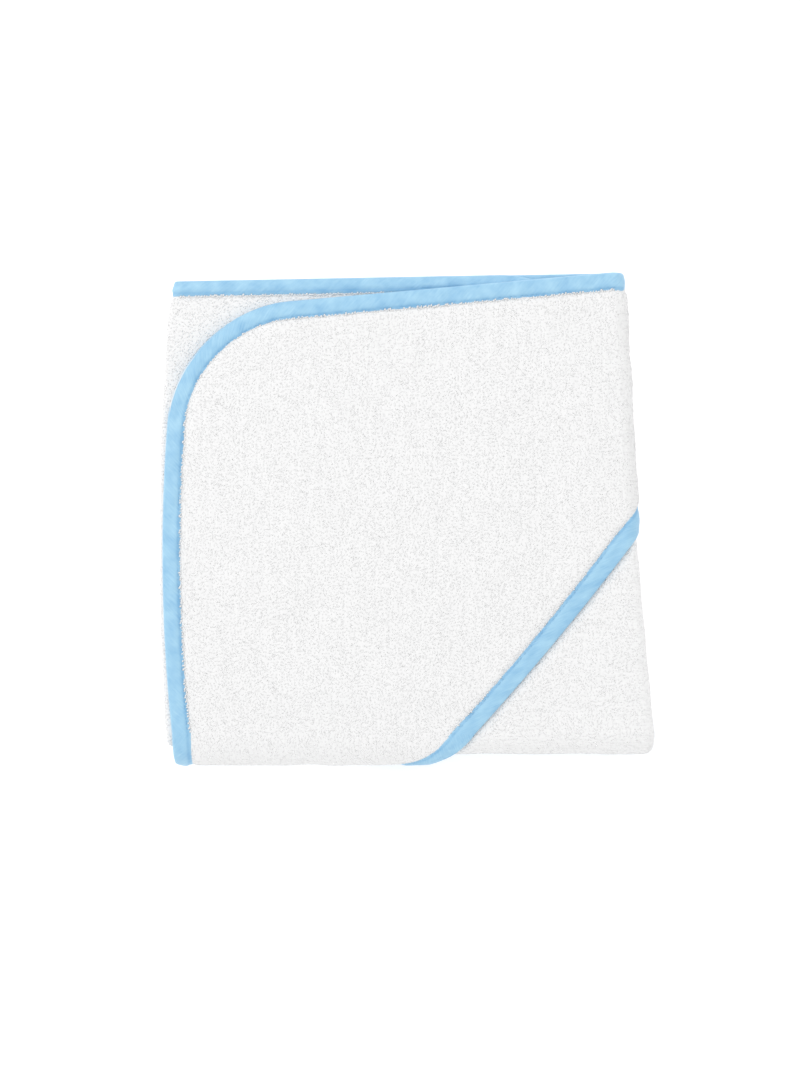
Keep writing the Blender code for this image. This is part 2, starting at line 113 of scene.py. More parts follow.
class Shade:
    """A material in the making. Its method node adds any node, and finish leads the result to the output."""

    def __init__(self, name):
        self.material = bpy.data.materials.new(name)
        self.material.use_nodes = True
        self.tree = self.material.node_tree
        self.tree.nodes.clear()

    def node(self, kind, settings=None, output=0, **sockets):
        given = {name: value.socket if isinstance(value, Wire) else value for name, value in sockets.items()}
        return Wire(self, add(self.tree, kind, settings, **given).outputs[output])

    def mixed(self, share, first, second):
        return self.node("ShaderNodeMix", {"data_type": "RGBA"}, output=2, _0=share, _6=first, _7=second)

    def finish(self, surface):
        add(self.tree, "ShaderNodeOutputMaterial", Surface=surface.socket)
        return self.material


class Wire:
    """A node's output that takes part in sums: an expression on it adds its Math nodes."""

    def __init__(self, shade, socket):
        self.shade = shade
        self.socket = socket

    def maths(self, operation, first, second):
        return self.shade.node("ShaderNodeMath", {"operation": operation}, _0=first, _1=second)

    def __add__(self, other):
        return self.maths("ADD", self, other)

    def __radd__(self, other):
        return self.maths("ADD", other, self)

    def __sub__(self, other):
        return self.maths("SUBTRACT", self, other)

    def __rsub__(self, other):
        return self.maths("SUBTRACT", other, self)

    def __mul__(self, other):
        return self.maths("MULTIPLY", self, other)

    def __rmul__(self, other):
        return self.maths("MULTIPLY", other, self)


def light_table_top():
    made = Shade("light_table_top")
    colour = made.node("ShaderNodeBsdfDiffuse", Color=TABLE_WHITE)
    glow = made.node("ShaderNodeEmission", Color=(1, 1, 1, 1), Strength=TABLE_GLOW)
    return made.finish(made.node("ShaderNodeAddShader", _0=colour, _1=glow))


half_table = TABLE_SIZE / 2
table_mesh = bpy.data.meshes.new("light_table")
table_corners = [(-half_table, -half_table, 0), (half_table, -half_table, 0)]
table_corners += [(half_table, half_table, 0), (-half_table, half_table, 0)]
table_mesh.from_pydata(table_corners, [], [(0, 1, 2, 3)])
table_mesh.materials.append(light_table_top())
light_table = put("light_table", table_mesh)

room = bpy.data.worlds.new("white_room")
room.use_nodes = True
room.node_tree.nodes["Background"].inputs["Color"].default_value = (1, 1, 1, 1)
room.node_tree.nodes["Background"].inputs["Strength"].default_value = ROOM_LIGHT
bpy.context.scene.world = room

panel_light = bpy.data.lights.new("soft_panel", "AREA")
panel_light.size = PANEL_SIZE
panel_light.energy = PANEL_WATTS
panel = put("soft_panel", panel_light)
panel.location = PANEL_PLACE
panel.rotation_euler = Vector(PANEL_PLACE).to_track_quat("Z", "Y").to_euler()

camera_data = bpy.data.cameras.new("camera_above")
camera_data.lens = LENS
camera_data.sensor_width = SENSOR
camera = put("camera_above", camera_data)
camera.location = (*VIEW_CENTRE, TOWEL_TOP + VIEW_HEIGHT * LENS / SENSOR)
bpy.context.scene.camera = camera
bpy.context.scene.view_settings.view_transform = "Standard"

# ---------------------------------------------------------------------------------------------------------
# Towel cloth. One square of cotton terry, about 762 mm each way, with rounded corners. It is folded in thirds
# across, which makes a strip of three layers (front, back and side panels joined by a right and a left turn),
# and the strip is folded in thirds like a zigzag. Each third of it rides on its own body.

TERRY = 1.6 * MM
PITCH = 3.05 * MM
THIRD_THICK = TERRY + 2 * PITCH
THIRD_GAP = 4.3 * MM
BACK = TERRY / 2
SIDE = BACK + PITCH
FRONT = BACK + 2 * PITCH
EDGE_HOLD = 0.85 * MM

LOWER_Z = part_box("lower_third_terry")[0].z
MIDDLE_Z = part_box("middle_third_terry")[0].z
UPPER_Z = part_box("upper_third_terry")[0].z
NEAR_FOLD_Z = UPPER_Z - THIRD_GAP / 2
FAR_FOLD_Z = MIDDLE_Z - THIRD_GAP / 2
NEAR_FOLD_Y = -113.4 * MM
FAR_FOLD_Y = 113.4 * MM
LOWER_END_Y = -119 * MM
TOP_RIGHT_Y = 131.5 * MM
TOP_RIGHT_X = 109 * MM
FRONT_TOP_SLOPE = 0.0893
BACK_TOP_SLOPE = 0.0194
CORNER_RADIUS = 58 * MM
SIDE_EDGE_INSET = 2 * MM
LOWER_LAYERS_INSET = 1.5 * MM
RIGHT_FOLD_X = (126.6 * MM, 117 * MM, 108.5 * MM)
LEFT_FOLD_X = (-126 * MM, -129.3 * MM, -123.2 * MM)
FRONT_EDGE_X = (-125.2 * MM, -130.3 * MM, -118.2 * MM)
PLAN_Y = (-114 * MM, -10 * MM, 131 * MM)
PULLED_IN = 2.2 * MM
PULLED_FROM = 104 * MM
PULLED_RUN = 22 * MM

# Where the hood lies over this cloth, because the pile is pressed down under it
HOOD_TAPE_THICK = 2.4 * MM
HOOD_CLEAR = 0.25 * MM
HOOD = FRONT + TERRY / 2 + HOOD_CLEAR + HOOD_TAPE_THICK / 2
HOOD_EDGE_X = 76.8 * MM
HOOD_EDGE_Y = -66.3 * MM
HOOD_EDGE_SLOPE = 1.2
HOOD_EDGE_SKEW = math.hypot(1, HOOD_EDGE_SLOPE) / HOOD_EDGE_SLOPE
HOOD_PAST_FOLD_X = -18 * MM
HOOD_BOW = 2.4 * MM
HOOD_BOW_REACH = 55 * MM

CLOTH_STEP = 2.6 * MM
TURN_STEPS = 12
CRISP_ANGLE = math.radians(55)
PRESSED = 0.05 * MM
PANELS = ("front", "right turn", "back", "left turn", "side")

# How far the pile swells past the woven ground on each panel's outer side, third by third
SWELL = {
    "upper": {"front": 1.2 * MM, "back": 0.25 * MM, "side": 0.6 * MM},
    "middle": {"front": 1.6 * MM, "back": 1.3 * MM, "side": 0.6 * MM},
    "lower": {"front": 1.3 * MM, "back": 0.45 * MM, "side": 0.6 * MM},
}
INNER_SWELL = 0.55 * MM
HOODED_TURN_SWELL = 0.4
SWELL_START = 8.7 * MM
SWELL_RUN = 3.6 * MM
WAVES = 14
RUMPLE = 0.22 * MM
RUMPLE_LENGTHS = (14 * MM, 52 * MM)

TERRY_COLOUR = (0.838, 0.837, 0.838, 1)
# The darker end of the terry's colour: painted shade in the gaps between loops, and random darker streaks.
TERRY_SHADE_AND_TONE = (0.778, 0.778, 0.780, 1)
TERRY_RELIEF = 0.17
ALONG = (1, 0.5, 1)
ACROSS = (0.5, 1, 1)
LOOP_LENGTH = 1.5 * MM


def rise(distance, start, run):
    """0 before start and 1 after it, with a smooth rise along run."""
    t = np.clip((distance - start) / run, 0, 1)
    return t * t * (3 - 2 * t)


def mix(first, second, share):
    return first + (second - first) * share


def stands(distance):
    """How fully the pile stands at this distance from a bound edge: 0 inside the tape and 1 clear of it."""
    return rise(distance, SWELL_START, SWELL_RUN)


def through(values, y):
    """A smooth plan line: the parabola with these x at the three places of PLAN_Y."""
    a, b, c = PLAN_Y
    near = (y - b) * (y - c) / ((a - b) * (a - c))
    middle = (y - a) * (y - c) / ((b - a) * (b - c))
    far = (y - a) * (y - b) / ((c - a) * (c - b))
    return values[0] * near + values[1] * middle + values[2] * far


def spots(x, y, z):
    """Points from their three coordinates, any of which may be one number for all."""
    return np.stack(np.broadcast_arrays(x, y, z), axis=-1)


def corner_drop(offset):
    """How far the rounded corner falls short of the square one, at this distance from the side edge."""
    left = np.clip(CORNER_RADIUS - offset, 0, CORNER_RADIUS)
    return CORNER_RADIUS - np.sqrt(CORNER_RADIUS**2 - left**2)


def edge_distance(dx, dy):
    """The distance to the nearer of two edges that meet at a rounded corner."""
    across = np.maximum(CORNER_RADIUS - dx, 0)
    along = np.maximum(CORNER_RADIUS - dy, 0)
    return np.minimum(np.minimum(dx, dy), CORNER_RADIUS - np.hypot(across, along))


class Third:
    """One third of the strip, which lies between a cross fold and its other end."""

    def __init__(self, name, z, flipped, start_y, end_y, inset, free_end):
        self.name = name
        self.body = name + "_third"
        self.z = z
        self.flipped = flipped
        self.start_y = start_y
        self.end_y = end_y
        self.inset = inset
        self.free_end = free_end
        self.sign = 1 if end_y > start_y else -1
        self.swell = SWELL[name]

    def level(self, height):
        return self.z + (THIRD_THICK - height if self.flipped else height)

    def right(self, y):
        return through(RIGHT_FOLD_X, y) - self.inset

    def left(self, y):
        return through(LEFT_FOLD_X, y) + self.inset + PULLED_IN * rise(y, PULLED_FROM, PULLED_RUN)

    def front_edge(self, y):
        return through(FRONT_EDGE_X, y) + self.inset

    def side_edge(self, y):
        return self.right(y) - SIDE_EDGE_INSET

    def slope_end(self, x, slope):
        if self.name != "upper":
            return self.end_y + 0 * x
        return TOP_RIGHT_Y - np.maximum(TOP_RIGHT_X - x, 0) * slope

    def front_end(self, x):
        return self.slope_end(x, FRONT_TOP_SLOPE)

    def back_end(self, x):
        return self.slope_end(x, BACK_TOP_SLOPE)


UPPER = Third("upper", UPPER_Z, False, NEAR_FOLD_Y, TOP_RIGHT_Y, 0, True)
MIDDLE = Third("middle", MIDDLE_Z, True, NEAR_FOLD_Y, FAR_FOLD_Y, LOWER_LAYERS_INSET, False)
LOWER = Third("lower", LOWER_Z, False, FAR_FOLD_Y, LOWER_END_Y, LOWER_LAYERS_INSET, True)

wave_draw = np.random.default_rng(7)
wave_lengths = wave_draw.uniform(*RUMPLE_LENGTHS, WAVES)
wave_ways = wave_draw.normal(size=(WAVES, 3))
wave_ways *= (2 * math.pi / wave_lengths / np.linalg.norm(wave_ways, axis=1))[:, None]
wave_starts = wave_draw.uniform(0, 2 * math.pi, WAVES)


def uneven(points, ways, starts):
    """The sum of these waves at each of the points, from about -1 to 1."""
    total = np.zeros(points.shape[:-1])
    for way, start in zip(ways, starts):
        total += np.sin(points @ way + start)
    return total / math.sqrt(WAVES)


def rumple(points):
    """The soft unevenness of the terry at each of these points."""
    return uneven(points, wave_ways, wave_starts)


def hood_edge_x(y):
    """Where the hood's edge would be at this y if the front panel ran on flat past the right fold."""
    bow = HOOD_BOW * np.minimum(((y - HOOD_EDGE_Y) / HOOD_BOW_REACH) ** 2, 1)
    return HOOD_EDGE_X + (y - HOOD_EDGE_Y) / HOOD_EDGE_SLOPE - bow


def middle_hood_edge_x(y):
    """The hood's edge on the middle third, which starts where the near fold lets go of it."""
    return HOOD_PAST_FOLD_X - (y - NEAR_FOLD_Y) / HOOD_EDGE_SLOPE


def panel_point(third, panel, t, y, out):
    """The x and height at share t of a panel, out from the middle of the cloth on its outer side."""
    if panel == "front":
        edge = third.front_edge(y) + EDGE_HOLD
        return mix(edge, third.right(y), t), FRONT + out
    if panel == "right turn":
        angle = math.pi * (1 / 2 - t)
        radius = PITCH + out
        return third.right(y) + radius * math.cos(angle), SIDE + radius * math.sin(angle)
    if panel == "back":
        return mix(third.right(y), third.left(y), t), BACK - out
    if panel == "left turn":
        angle = -math.pi * (1 / 2 + t)
        radius = PITCH / 2 + out
        middle = (BACK + SIDE) / 2
        return third.left(y) + radius * math.cos(angle), middle + radius * math.sin(angle)
    return mix(third.left(y), third.side_edge(y) - EDGE_HOLD, t), SIDE + out


def panel_shares(panel):
    """Shares across a panel at which the cloth has a row of points: closer together near a rounded corner."""
    if panel in ("right turn", "left turn"):
        return np.linspace(0, 1, TURN_STEPS + 1)
    width = abs(UPPER.right(0) - UPPER.front_edge(0))
    rows = np.linspace(0, 1, round(width / CLOTH_STEP) + 1)
    if panel == "back":
        return rows
    near = CLOTH_STEP / width / 2
    rows = np.concatenate([[0, near, 2 * near], rows[2:]])
    return rows if panel == "front" else 1 - rows[::-1]


def outer_swell(third, panel, t, bare):
    """How far the pile stands past the ground on the outer side. bare is 1 where no hood lies over it."""
    amounts = third.swell
    if panel == "front":
        return amounts["front"] * bare
    if panel == "right turn":
        return mix(amounts["front"] * mix(HOODED_TURN_SWELL, 1, bare), amounts["back"], t)
    if panel == "left turn":
        return mix(amounts["back"], amounts["side"], t)
    return amounts[panel]


def grid_faces(rows, columns, start=0, turned=False):
    """The quads of a grid of points, whose numbers begin at start. Turned quads face the other way."""
    first = start + np.arange(rows - 1)[:, None] * columns + np.arange(columns - 1)[None, :]
    quads = np.stack([first, first + 1, first + columns + 1, first + columns], axis=-1).reshape(-1, 4)
    return quads[:, ::-1] if turned else quads


def mesh_of(name, points, quads, made_of):
    """A mesh object from points and quads. What would sink into the table is pressed flat on it."""
    points = points.copy()
    points[:, 2] = np.maximum(points[:, 2], PRESSED)
    mesh = bpy.data.meshes.new(name)
    mesh.vertices.add(len(points))
    mesh.vertices.foreach_set("co", np.ascontiguousarray(points, np.float32).ravel())
    mesh.loops.add(quads.size)
    mesh.loops.foreach_set("vertex_index", np.ascontiguousarray(quads, np.int32).ravel())
    mesh.polygons.add(len(quads))
    mesh.polygons.foreach_set("loop_start", np.arange(0, quads.size, 4, dtype=np.int32))
    mesh.update(calc_edges=True)
    mesh.validate()
    mesh.polygons.foreach_set("use_smooth", np.full(len(mesh.polygons), True))
    mesh.materials.append(made_of)
    return put(name, mesh)


def face_outwards(item):
    """Turns the faces of a closed mesh to point outwards, and keeps its cut ends crisp."""
    mesh = item.data
    mesh.set_sharp_from_angle(angle=CRISP_ANGLE)
    mesh.calc_loop_triangles()
    points = np.empty(len(mesh.vertices) * 3, np.float32)
    mesh.vertices.foreach_get("co", points)
    triangles = np.empty(len(mesh.loop_triangles) * 3, np.int32)
    mesh.loop_triangles.foreach_get("vertices", triangles)
    corners = points.reshape(-1, 3).astype(float)[triangles.reshape(-1, 3)]
    if np.linalg.det(corners).sum() < 0:
        mesh.flip_normals()


def padded_grid(name, outer, inner, made_of):
    """A closed cloth from two grids of points, its outer and its inner side, joined all round by a rim."""
    rows, columns = outer.shape[:2]
    count = rows * columns
    quads = [grid_faces(rows, columns), grid_faces(rows, columns, count, True)]
    ids = np.arange(count).reshape(rows, columns)
    border = np.concatenate([ids[0, :-1], ids[:-1, -1], ids[-1, :0:-1], ids[:0:-1, 0]])
    after = np.roll(border, -1)
    quads.append(np.stack([after, border, border + count, after + count], axis=-1))
    points = np.concatenate([outer.reshape(-1, 3), inner.reshape(-1, 3)])
    item = mesh_of(name, points, np.concatenate(quads), made_of)
    face_outwards(item)
    return item


def terry(name, lay):
    """Cotton terry: matt white yarn in small loops, with shade painted darker into the gaps between them,
    random darker streaks along the rows, and a faint soft sheen.
    """
    made = Shade(name)
    place = made.node("ShaderNodeMapping", Vector=made.node("ShaderNodeTexCoord", output=3), Scale=lay)
    pile = {"Vector": place, "Scale": 1 / LOOP_LENGTH, "Smoothness": 0.6}
    loops = made.node("ShaderNodeTexVoronoi", {"feature": "SMOOTH_F1"}, **pile)
    fuzz = {"Scale": 2.6 / LOOP_LENGTH, "Detail": 3.0, "Roughness": 0.65}
    fibres = made.node("ShaderNodeTexNoise", Vector=place, **fuzz)
    combed = made.node("ShaderNodeMapping", Vector=place, Scale=[size**3 for size in lay])
    rows = made.node("ShaderNodeTexNoise", Vector=combed, Scale=1.1 / LOOP_LENGTH, Detail=3.0)
    # Painted shade darkens the colour in the gaps between loops; the fibres and rows add random streaks of
    # darker tone.
    gap_shade_and_streaks = loops * 0.4 + fibres * 0.3 + rows * 1.3 - 0.65
    yarn = made.mixed(gap_shade_and_streaks, TERRY_COLOUR, TERRY_SHADE_AND_TONE)
    height = 1 - loops + fibres * 0.5
    bump = made.node("ShaderNodeBump", Strength=TERRY_RELIEF, Distance=0.5 * MM, Height=height)
    surface = made.node(
        "ShaderNodeBsdfPrincipled",
        Base_Color=yarn,
        Roughness=0.95,
        Normal=bump,
        Sheen_Weight=0.25,
        Sheen_Roughness=0.6,
        Specular_IOR_Level=0.15,
    )
    return made.finish(surface)


towel_terry = terry("towel_terry", ACROSS)


def towel_rows(third):
    """Both sides of the cloth of a third, as grids of points, and how bare and free each outer point is."""
    lengths = round(abs(third.end_y - third.start_y) / CLOTH_STEP)
    along = np.linspace(0, 1, lengths + 1)
    outer, inner, free = [], [], []
    for panel in PANELS:
        shares = panel_shares(panel)
        for t in shares if panel == "front" else shares[1:]:
            end = loose_end(third, panel, t) if third.free_end else third.end_y
            y = mix(third.start_y, end, along)
            x, height = panel_point(third, panel, t, y, 0)
            bound = third.sign * (open_end(third, panel, x) - y) if third.free_end else 1 + 0 * y
            if panel == "front":
                bound = edge_distance(x - third.front_edge(y), bound)
            if panel == "side":
                bound = edge_distance(third.side_edge(y) - x, bound)
            open_share = stands(bound)
            bare = bare_share(third, panel, x, t, y)
            out = TERRY / 2 + outer_swell(third, panel, t, bare) * open_share
            into = TERRY / 2 + (0 if panel == "left turn" else INNER_SWELL) * open_share
            rumpled = RUMPLE * rumple(spots(x, y, third.level(height))) * open_share * bare
            for side, offset in ((outer, out + rumpled), (inner, -into)):
                x, height = panel_point(third, panel, t, y, offset)
                side.append(spots(x, y, third.level(height)))
            free.append(open_share * bare)
    return np.array(outer), np.array(inner), np.array(free)


def open_end(third, panel, x):
    """Where the bound edge across the free end of a third is, at this x."""
    if panel == "front":
        return third.front_end(x)
    if panel == "right turn":
        return third.front_end(TOP_RIGHT_X + 0 * x)
    if panel == "left turn":
        return third.back_end(third.left(third.end_y) + 0 * x)
    return third.back_end(x)


def loose_end(third, panel, t):
    """The y at which the cloth ends at share t of a panel: inside the binding, and round the corner."""
    x, _ = panel_point(third, panel, t, third.end_y, 0)
    end = open_end(third, panel, x) - third.sign * EDGE_HOLD
    if panel == "front":
        end -= third.sign * corner_drop(x - third.front_edge(third.end_y))
    if panel == "side":
        end -= third.sign * corner_drop(third.side_edge(third.end_y) - x)
    return end


def bare_share(third, panel, x, t, y):
    """1 where a panel shows, and 0 where the hood lies over it."""
    if third is LOWER or panel in ("left turn", "side", "back"):
        return 1 + 0 * y
    strip = x if panel == "front" else third.right(y) + math.pi * (HOOD - SIDE) * t
    edge = hood_edge_x(y) if third is UPPER else middle_hood_edge_x(y)
    return rise((strip - edge) / HOOD_EDGE_SKEW, 0, SWELL_RUN)


free_of = {}
for third in (UPPER, MIDDLE, LOWER):
    outer, inner, free = towel_rows(third)
    piece = padded_grid(third.name + "_towel_cloth", outer, inner, towel_terry)
    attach(piece, third.body)
    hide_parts(third.name + "_third_terry")
    free_of[third.name] = (outer, free)

# ---------------------------------------------------------------------------------------------------------
# Cross folds. The strip turns back on itself at the near fold and at the far fold, with all its
# layers. The cloth there is shaped round the fold, from one third at one end to the next third at the other
# end.

CROSS_FOLD_STEPS = 19
HOOD_SLACK = 0.36
HOOD_TURN_SHARE = 0.38
WHOLE_FOLD = THIRD_GAP / 2 + THIRD_THICK


def near_fold(share, height):
    """The y and z on the near fold, from the upper third (0) to the middle (1). The hood bellies out."""
    angle = math.pi * share
    radius = THIRD_GAP / 2 + height
    slack = 1 + HOOD_SLACK * np.clip((height - FRONT) / (HOOD - FRONT), 0, 1)
    return NEAR_FOLD_Y - radius * slack * np.sin(angle), NEAR_FOLD_Z + radius * np.cos(angle)


def far_fold(share, height):
    """The y and z on the far fold, from the middle third (0) to the lower third (1)."""
    angle = math.pi * share
    radius = WHOLE_FOLD - height
    return FAR_FOLD_Y + radius * np.sin(angle), FAR_FOLD_Z + radius * np.cos(angle)


def hood_edge_round_fold(share):
    """The x of the hood's edge as it turns round the near fold, in a shallow curve."""
    curved = mix(share, rise(share, 0, 1), HOOD_TURN_SHARE)
    return mix(hood_edge_x(NEAR_FOLD_Y), HOOD_PAST_FOLD_X, curved)


def bend_with(piece, fold, reach=WHOLE_FOLD):
    """Bakes the piece's placement into its mesh; the piece is not tied to the thirds on either side of the
    fold.
    """
    y, z, first, second = NEAR_FOLD_Y, NEAR_FOLD_Z, "middle_third", "upper_third"
    if fold is far_fold:
        y, z, first, second, reach = FAR_FOLD_Y, FAR_FOLD_Z, "middle_third", "lower_third", -reach
    z - reach
    z + reach
    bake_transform(piece)


def fold_rows(fold, first, second):
    """Both sides of the towel's cloth round a cross fold, from the first third to the second."""
    y = NEAR_FOLD_Y if fold is near_fold else FAR_FOLD_Y
    share = np.linspace(0, 1, CROSS_FOLD_STEPS + 1)
    outer, inner, free = [], [], []
    for panel in PANELS:
        shares = panel_shares(panel)
        for t in shares if panel == "front" else shares[1:]:
            start_x, middle_height = panel_point(first, panel, t, y, 0)
            end_x, _ = panel_point(second, panel, t, y, 0)
            x = mix(start_x, end_x, share)
            bound = 1 + 0 * share
            if panel == "front":
                bound = x - mix(first.front_edge(y), second.front_edge(y), share)
            if panel == "side":
                bound = mix(first.side_edge(y), second.side_edge(y), share) - x
            open_share = stands(bound)
            bare = 1 + 0 * share
            if fold is near_fold and panel in ("front", "right turn"):
                strip = x if panel == "front" else x + math.pi * (HOOD - SIDE) * t
                bare = rise((strip - hood_edge_round_fold(share)) / HOOD_EDGE_SKEW, 0, SWELL_RUN)
            swell = mix(outer_swell(first, panel, t, bare), outer_swell(second, panel, t, bare), share)
            out = TERRY / 2 + swell * open_share
            into = TERRY / 2 + (0 if panel == "left turn" else INNER_SWELL) * open_share
            centre = fold(share, middle_height)
            rumpled = RUMPLE * rumple(spots(x, *centre)) * open_share * bare
            for side, offset in ((outer, out + rumpled), (inner, -into)):
                start_x, height = panel_point(first, panel, t, y, offset)
                end_x, _ = panel_point(second, panel, t, y, offset)
                lift = height - middle_height
                upwards = lift * np.cos(math.pi * share) * (1 if fold is near_fold else -1)
                away = centre[0] - lift * np.sin(math.pi * share)
                side.append(spots(mix(start_x, end_x, share), away, centre[1] + upwards))
            free.append(open_share * bare)
    return np.array(outer), np.array(inner), np.array(free)


for name, fold, first, second in (
    ("near_fold", near_fold, UPPER, MIDDLE),
    ("far_fold", far_fold, MIDDLE, LOWER),
):
    outer, inner, free = fold_rows(fold, first, second)
    piece = padded_grid(name + "_cloth", outer, inner, towel_terry)
    bend_with(piece, fold)
    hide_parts(*(f"{name}_{panel}_terry" for panel in ("front", "side", "back")))
    free_of[name] = (outer, free)

# ---------------------------------------------------------------------------------------------------------
# Hood. A three-cornered second layer of the same terry over one corner of the towel. Its two straight sides
# are sewn in with the towel's edge, and its long slanting edge is bound and free. From above it covers most
# of the front. It turns under at the right fold, and round the near fold on to the middle third.

HOOD_TERRY = 1.2 * MM
TAPE_WIDTH = 10.2 * MM
TAPE_LAP = 0.4 * MM
UNDER_TAPE_Y = TOP_RIGHT_Y - TAPE_WIDTH + TAPE_LAP
HOOD_SWELL = 1.9 * MM
HOOD_FOLD_SWELL = 0.75 * MM
HOOD_TUCKED_SWELL = 0.15
HOOD_RUMPLE = 1.3 * RUMPLE
TUCK_RUN = 4 * MM
HIDDEN_RUN = 6 * MM
FLATTENED_RUN = 30 * MM
HOOD_TIP = 5 * MM
HOOD_STEP = 2.0 * MM
HOOD_WIDTH = 300 * MM
HOOD_AT_FOLD = 160 * MM
HOOD_TURNS_WITHIN = 2.1 * MM
SETTLING_ROUNDS = 8

hood_terry = terry("hood_terry", ALONG)


def hood_place(strip, y, height):
    """A point of the hood. strip is counted from the right fold, over it and on under the back panel."""
    radius = HOOD - SIDE
    out = height - HOOD
    angle = math.pi / 2 - np.clip(strip / radius, 0, math.pi)
    past = np.maximum(strip - math.pi * radius, 0)
    x = UPPER.right(y) + np.minimum(strip, 0) + (radius + out) * np.cos(angle) - past
    return spots(x, y, UPPER.level(SIDE + (radius + out) * np.sin(angle)))


def upper_hood_rows():
    """Both sides of the hood on the upper third: across it in columns, along it in rows."""
    columns = round(HOOD_WIDTH / HOOD_STEP)
    rows = round((UPPER.end_y - UPPER.start_y) / HOOD_STEP)
    t = np.linspace(0, 1, columns + 1)[:, None]
    v = np.linspace(0, 1, rows + 1)[None, :]
    trim = EDGE_HOLD * HOOD_EDGE_SKEW
    high = np.full_like(t, TOP_RIGHT_Y)
    for _ in range(SETTLING_ROUNDS):
        left = UPPER.front_edge(high) + EDGE_HOLD - UPPER.right(high)
        strip = mix(left, hood_edge_x(high) - trim - UPPER.right(high), t)
        x = np.minimum(UPPER.right(high) + strip, TOP_RIGHT_X)
        tucked = rise(strip, (HOOD - SIDE) / 4 * math.pi, TUCK_RUN)
        edge = UPPER.front_end(x) - EDGE_HOLD
        edge = edge - corner_drop(UPPER.right(high) + strip - UPPER.front_edge(high))
        high = mix(edge, UNDER_TAPE_Y, tucked)
    y = mix(UPPER.start_y, high, v)
    left = UPPER.front_edge(y) + EDGE_HOLD - UPPER.right(y)
    strip = mix(left, hood_edge_x(y) - trim - UPPER.right(y), t)
    x = UPPER.right(y) + strip
    far = UPPER.front_end(np.minimum(x, TOP_RIGHT_X)) - y
    bound = edge_distance(x - UPPER.front_edge(y), far)
    open_share = stands(bound) * stands((hood_edge_x(y) - x) / HOOD_EDGE_SKEW)
    shown = 1 - rise(strip, math.pi / 2 * (HOOD - SIDE), HIDDEN_RUN)
    full = rise(y - UPPER.start_y, 0, FLATTENED_RUN)
    swell = mix(HOOD_FOLD_SWELL, HOOD_SWELL, full) * mix(HOOD_TUCKED_SWELL, 1, shown)
    rumpled = HOOD_RUMPLE * rumple(hood_place(strip, y, HOOD)) * shown
    out = HOOD_TERRY / 2 + (swell + rumpled) * open_share
    return hood_place(strip, y, HOOD + out), hood_place(strip, y, HOOD - HOOD_TERRY / 2), open_share * shown


def middle_hood_rows():
    """Both sides of the hood's other point, on the front panel of the middle third."""
    hold = EDGE_HOLD * HOOD_EDGE_SKEW
    reach = HOOD_PAST_FOLD_X - MIDDLE.front_edge(0) - HOOD_TIP
    count = round(reach / HOOD_STEP)
    y = np.linspace(NEAR_FOLD_Y, NEAR_FOLD_Y + reach * HOOD_EDGE_SLOPE, count)[None, :]
    t = np.linspace(0, 1, count)[:, None]
    left = MIDDLE.front_edge(y) + EDGE_HOLD
    x = mix(left, np.maximum(middle_hood_edge_x(y) - hold, left + 1 * MM), t)
    y = y + 0 * x
    open_share = stands(x - MIDDLE.front_edge(y)) * stands((middle_hood_edge_x(y) - x) / HOOD_EDGE_SKEW)
    outer = spots(x, y, MIDDLE.level(HOOD + (HOOD_TERRY / 2 + HOOD_FOLD_SWELL * open_share)))
    inner = spots(x, y, MIDDLE.level(HOOD - HOOD_TERRY / 2))
    return outer, inner, open_share


def fold_hood_rows():
    """Both sides of the hood as it turns round the near fold."""
    share = np.linspace(0, 1, CROSS_FOLD_STEPS + 1)[None, :]
    left = mix(UPPER.front_edge(NEAR_FOLD_Y), MIDDLE.front_edge(NEAR_FOLD_Y), share) + EDGE_HOLD
    right = hood_edge_round_fold(share) - EDGE_HOLD * HOOD_EDGE_SKEW
    t = np.linspace(0, 1, round(HOOD_AT_FOLD / HOOD_STEP) + 1)[:, None]
    x = mix(left, right, t)
    share = share + 0 * x
    open_share = stands(x - left + EDGE_HOLD) * stands((hood_edge_round_fold(share) - x) / HOOD_EDGE_SKEW)
    rumpled = HOOD_RUMPLE * rumple(spots(x, *near_fold(share, HOOD))) * np.cos(math.pi * share / 2)
    out = HOOD_TERRY / 2 + (HOOD_FOLD_SWELL + rumpled) * open_share
    outer = spots(x, *near_fold(share, HOOD + out))
    inner = spots(x, *near_fold(share, HOOD - HOOD_TERRY / 2))
    return outer, inner, open_share


for place, rows in (("upper", upper_hood_rows), ("middle", middle_hood_rows), ("near_fold", fold_hood_rows)):
    outer, inner, free = rows()
    piece = padded_grid(place + "_hood_cloth", outer, inner, hood_terry)
    if place == "near_fold":
        bend_with(piece, near_fold, HOOD_TURNS_WITHIN)
    else:
        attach(piece, place + "_third")
    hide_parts(place + "_hood_terry")
    free_of[place + "_hood"] = (outer, free)

# ---------------------------------------------------------------------------------------------------------
# Satin bindings. A bias-cut satin tape is folded over the towel's whole edge, hood included, and another over
# the hood's slanting edge. It shows about 10 mm wide, with a soft rounded outer edge and small puckers.

